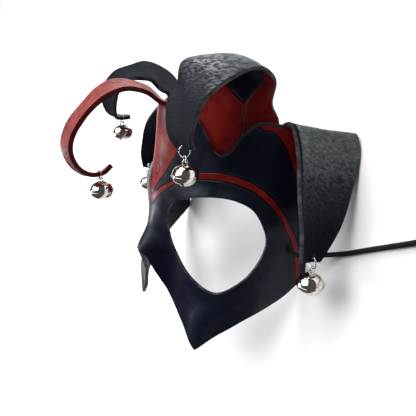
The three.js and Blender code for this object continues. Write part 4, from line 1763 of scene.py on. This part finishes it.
@dataclass(frozen=True)
class Lamp:
    """A square soft light that points at the mask."""

    name: str
    towards: tuple[float, float, float]
    far: float
    size: float
    power: float

    def build(self) -> None:
        """Adds the light."""
        place = Vector(self.towards).normalized() * self.far
        bpy.ops.object.light_add(type="AREA", location=place)
        lamp = bpy.context.object
        lamp.name = self.name
        lamp.rotation_euler = turn_to(place).to_euler()
        lamp.data.shape = "SQUARE"
        lamp.data.size = self.size
        lamp.data.energy = self.power


@dataclass(frozen=True)
class Studio:
    """The floor, the soft lights and the photograph's camera."""

    lamps: Sequence[Lamp] = (
        Lamp("overhead", (-0.3, 0.45, 1.0), 1.6, 1.6, 40),
        Lamp("front of the mask", (-0.75, -0.45, 0.62), 1.3, 0.4, 9),
        Lamp("crown", (-0.4, 1.0, 0.42), 1.3, 0.6, 17),
    )
    surroundings: float = 0.1
    floor_size: float = 12
    # The photograph's camera: pixels, degrees round and above the upright mask, and the wearer's frame
    frame_pixels: float = 416
    focal_pixels: float = 420
    camera_turn: float = 57
    camera_height: float = 23
    camera_at: tuple[float, float, float] = (247.5, 104.7, 115.8)
    sensor: float = 36

    def build(self) -> None:
        """Makes the studio."""
        self._lay_floor()
        for lamp in self.lamps:
            lamp.build()
        world = bpy.data.worlds.new("studio")
        bpy.context.scene.world = world
        world.use_nodes = True
        back = next(node for node in world.node_tree.nodes if node.type == "BACKGROUND")
        back.inputs["Color"].default_value = (1, 1, 1, 1)
        back.inputs["Strength"].default_value = self.surroundings
        self._set_camera()
        bpy.context.scene.view_settings.view_transform = "Standard"

    def _lay_floor(self) -> None:
        """Adds the floor."""
        deselect()
        bpy.ops.mesh.primitive_plane_add(size=self.floor_size)
        floor = bpy.context.object
        floor.name = "floor"
        floor.data.materials.append(FloorPaint().material())

    def _set_camera(self) -> None:
        """Adds the camera where the photograph was taken from."""
        data = bpy.data.cameras.new("photograph")
        data.sensor_width = self.sensor
        data.lens = self.sensor * self.focal_pixels / self.frame_pixels
        data.clip_start = 0.01
        camera = bpy.data.objects.new("photograph", data)
        bpy.context.scene.collection.objects.link(camera)
        turn, height = math.radians(self.camera_turn), math.radians(self.camera_height)
        out = math.cos(height)
        back = Vector((math.sin(turn) * out, math.sin(height), math.cos(turn) * out))
        right = Vector((math.cos(turn), 0, -math.sin(turn)))
        basis = Matrix((right, back.cross(right), back)).transposed()
        turned = Matrix.Rotation(RESTING_TILT, 3, "X") @ basis
        camera.matrix_world = Matrix.Translation(lay_down() @ Vector(self.camera_at)) @ turned.to_4x4()
        bpy.context.scene.camera = camera


def main() -> None:
    """Builds the mask and its studio, piece by piece."""
    logging.basicConfig(level=logging.INFO, format="%(name)s: %(message)s")
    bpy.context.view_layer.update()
    mask = JesterMask()
    mask.build_leather()
    mask.build_metalwork()
    mask.build_lace()
    Studio().build()


if __name__ == "__main__":
    main()
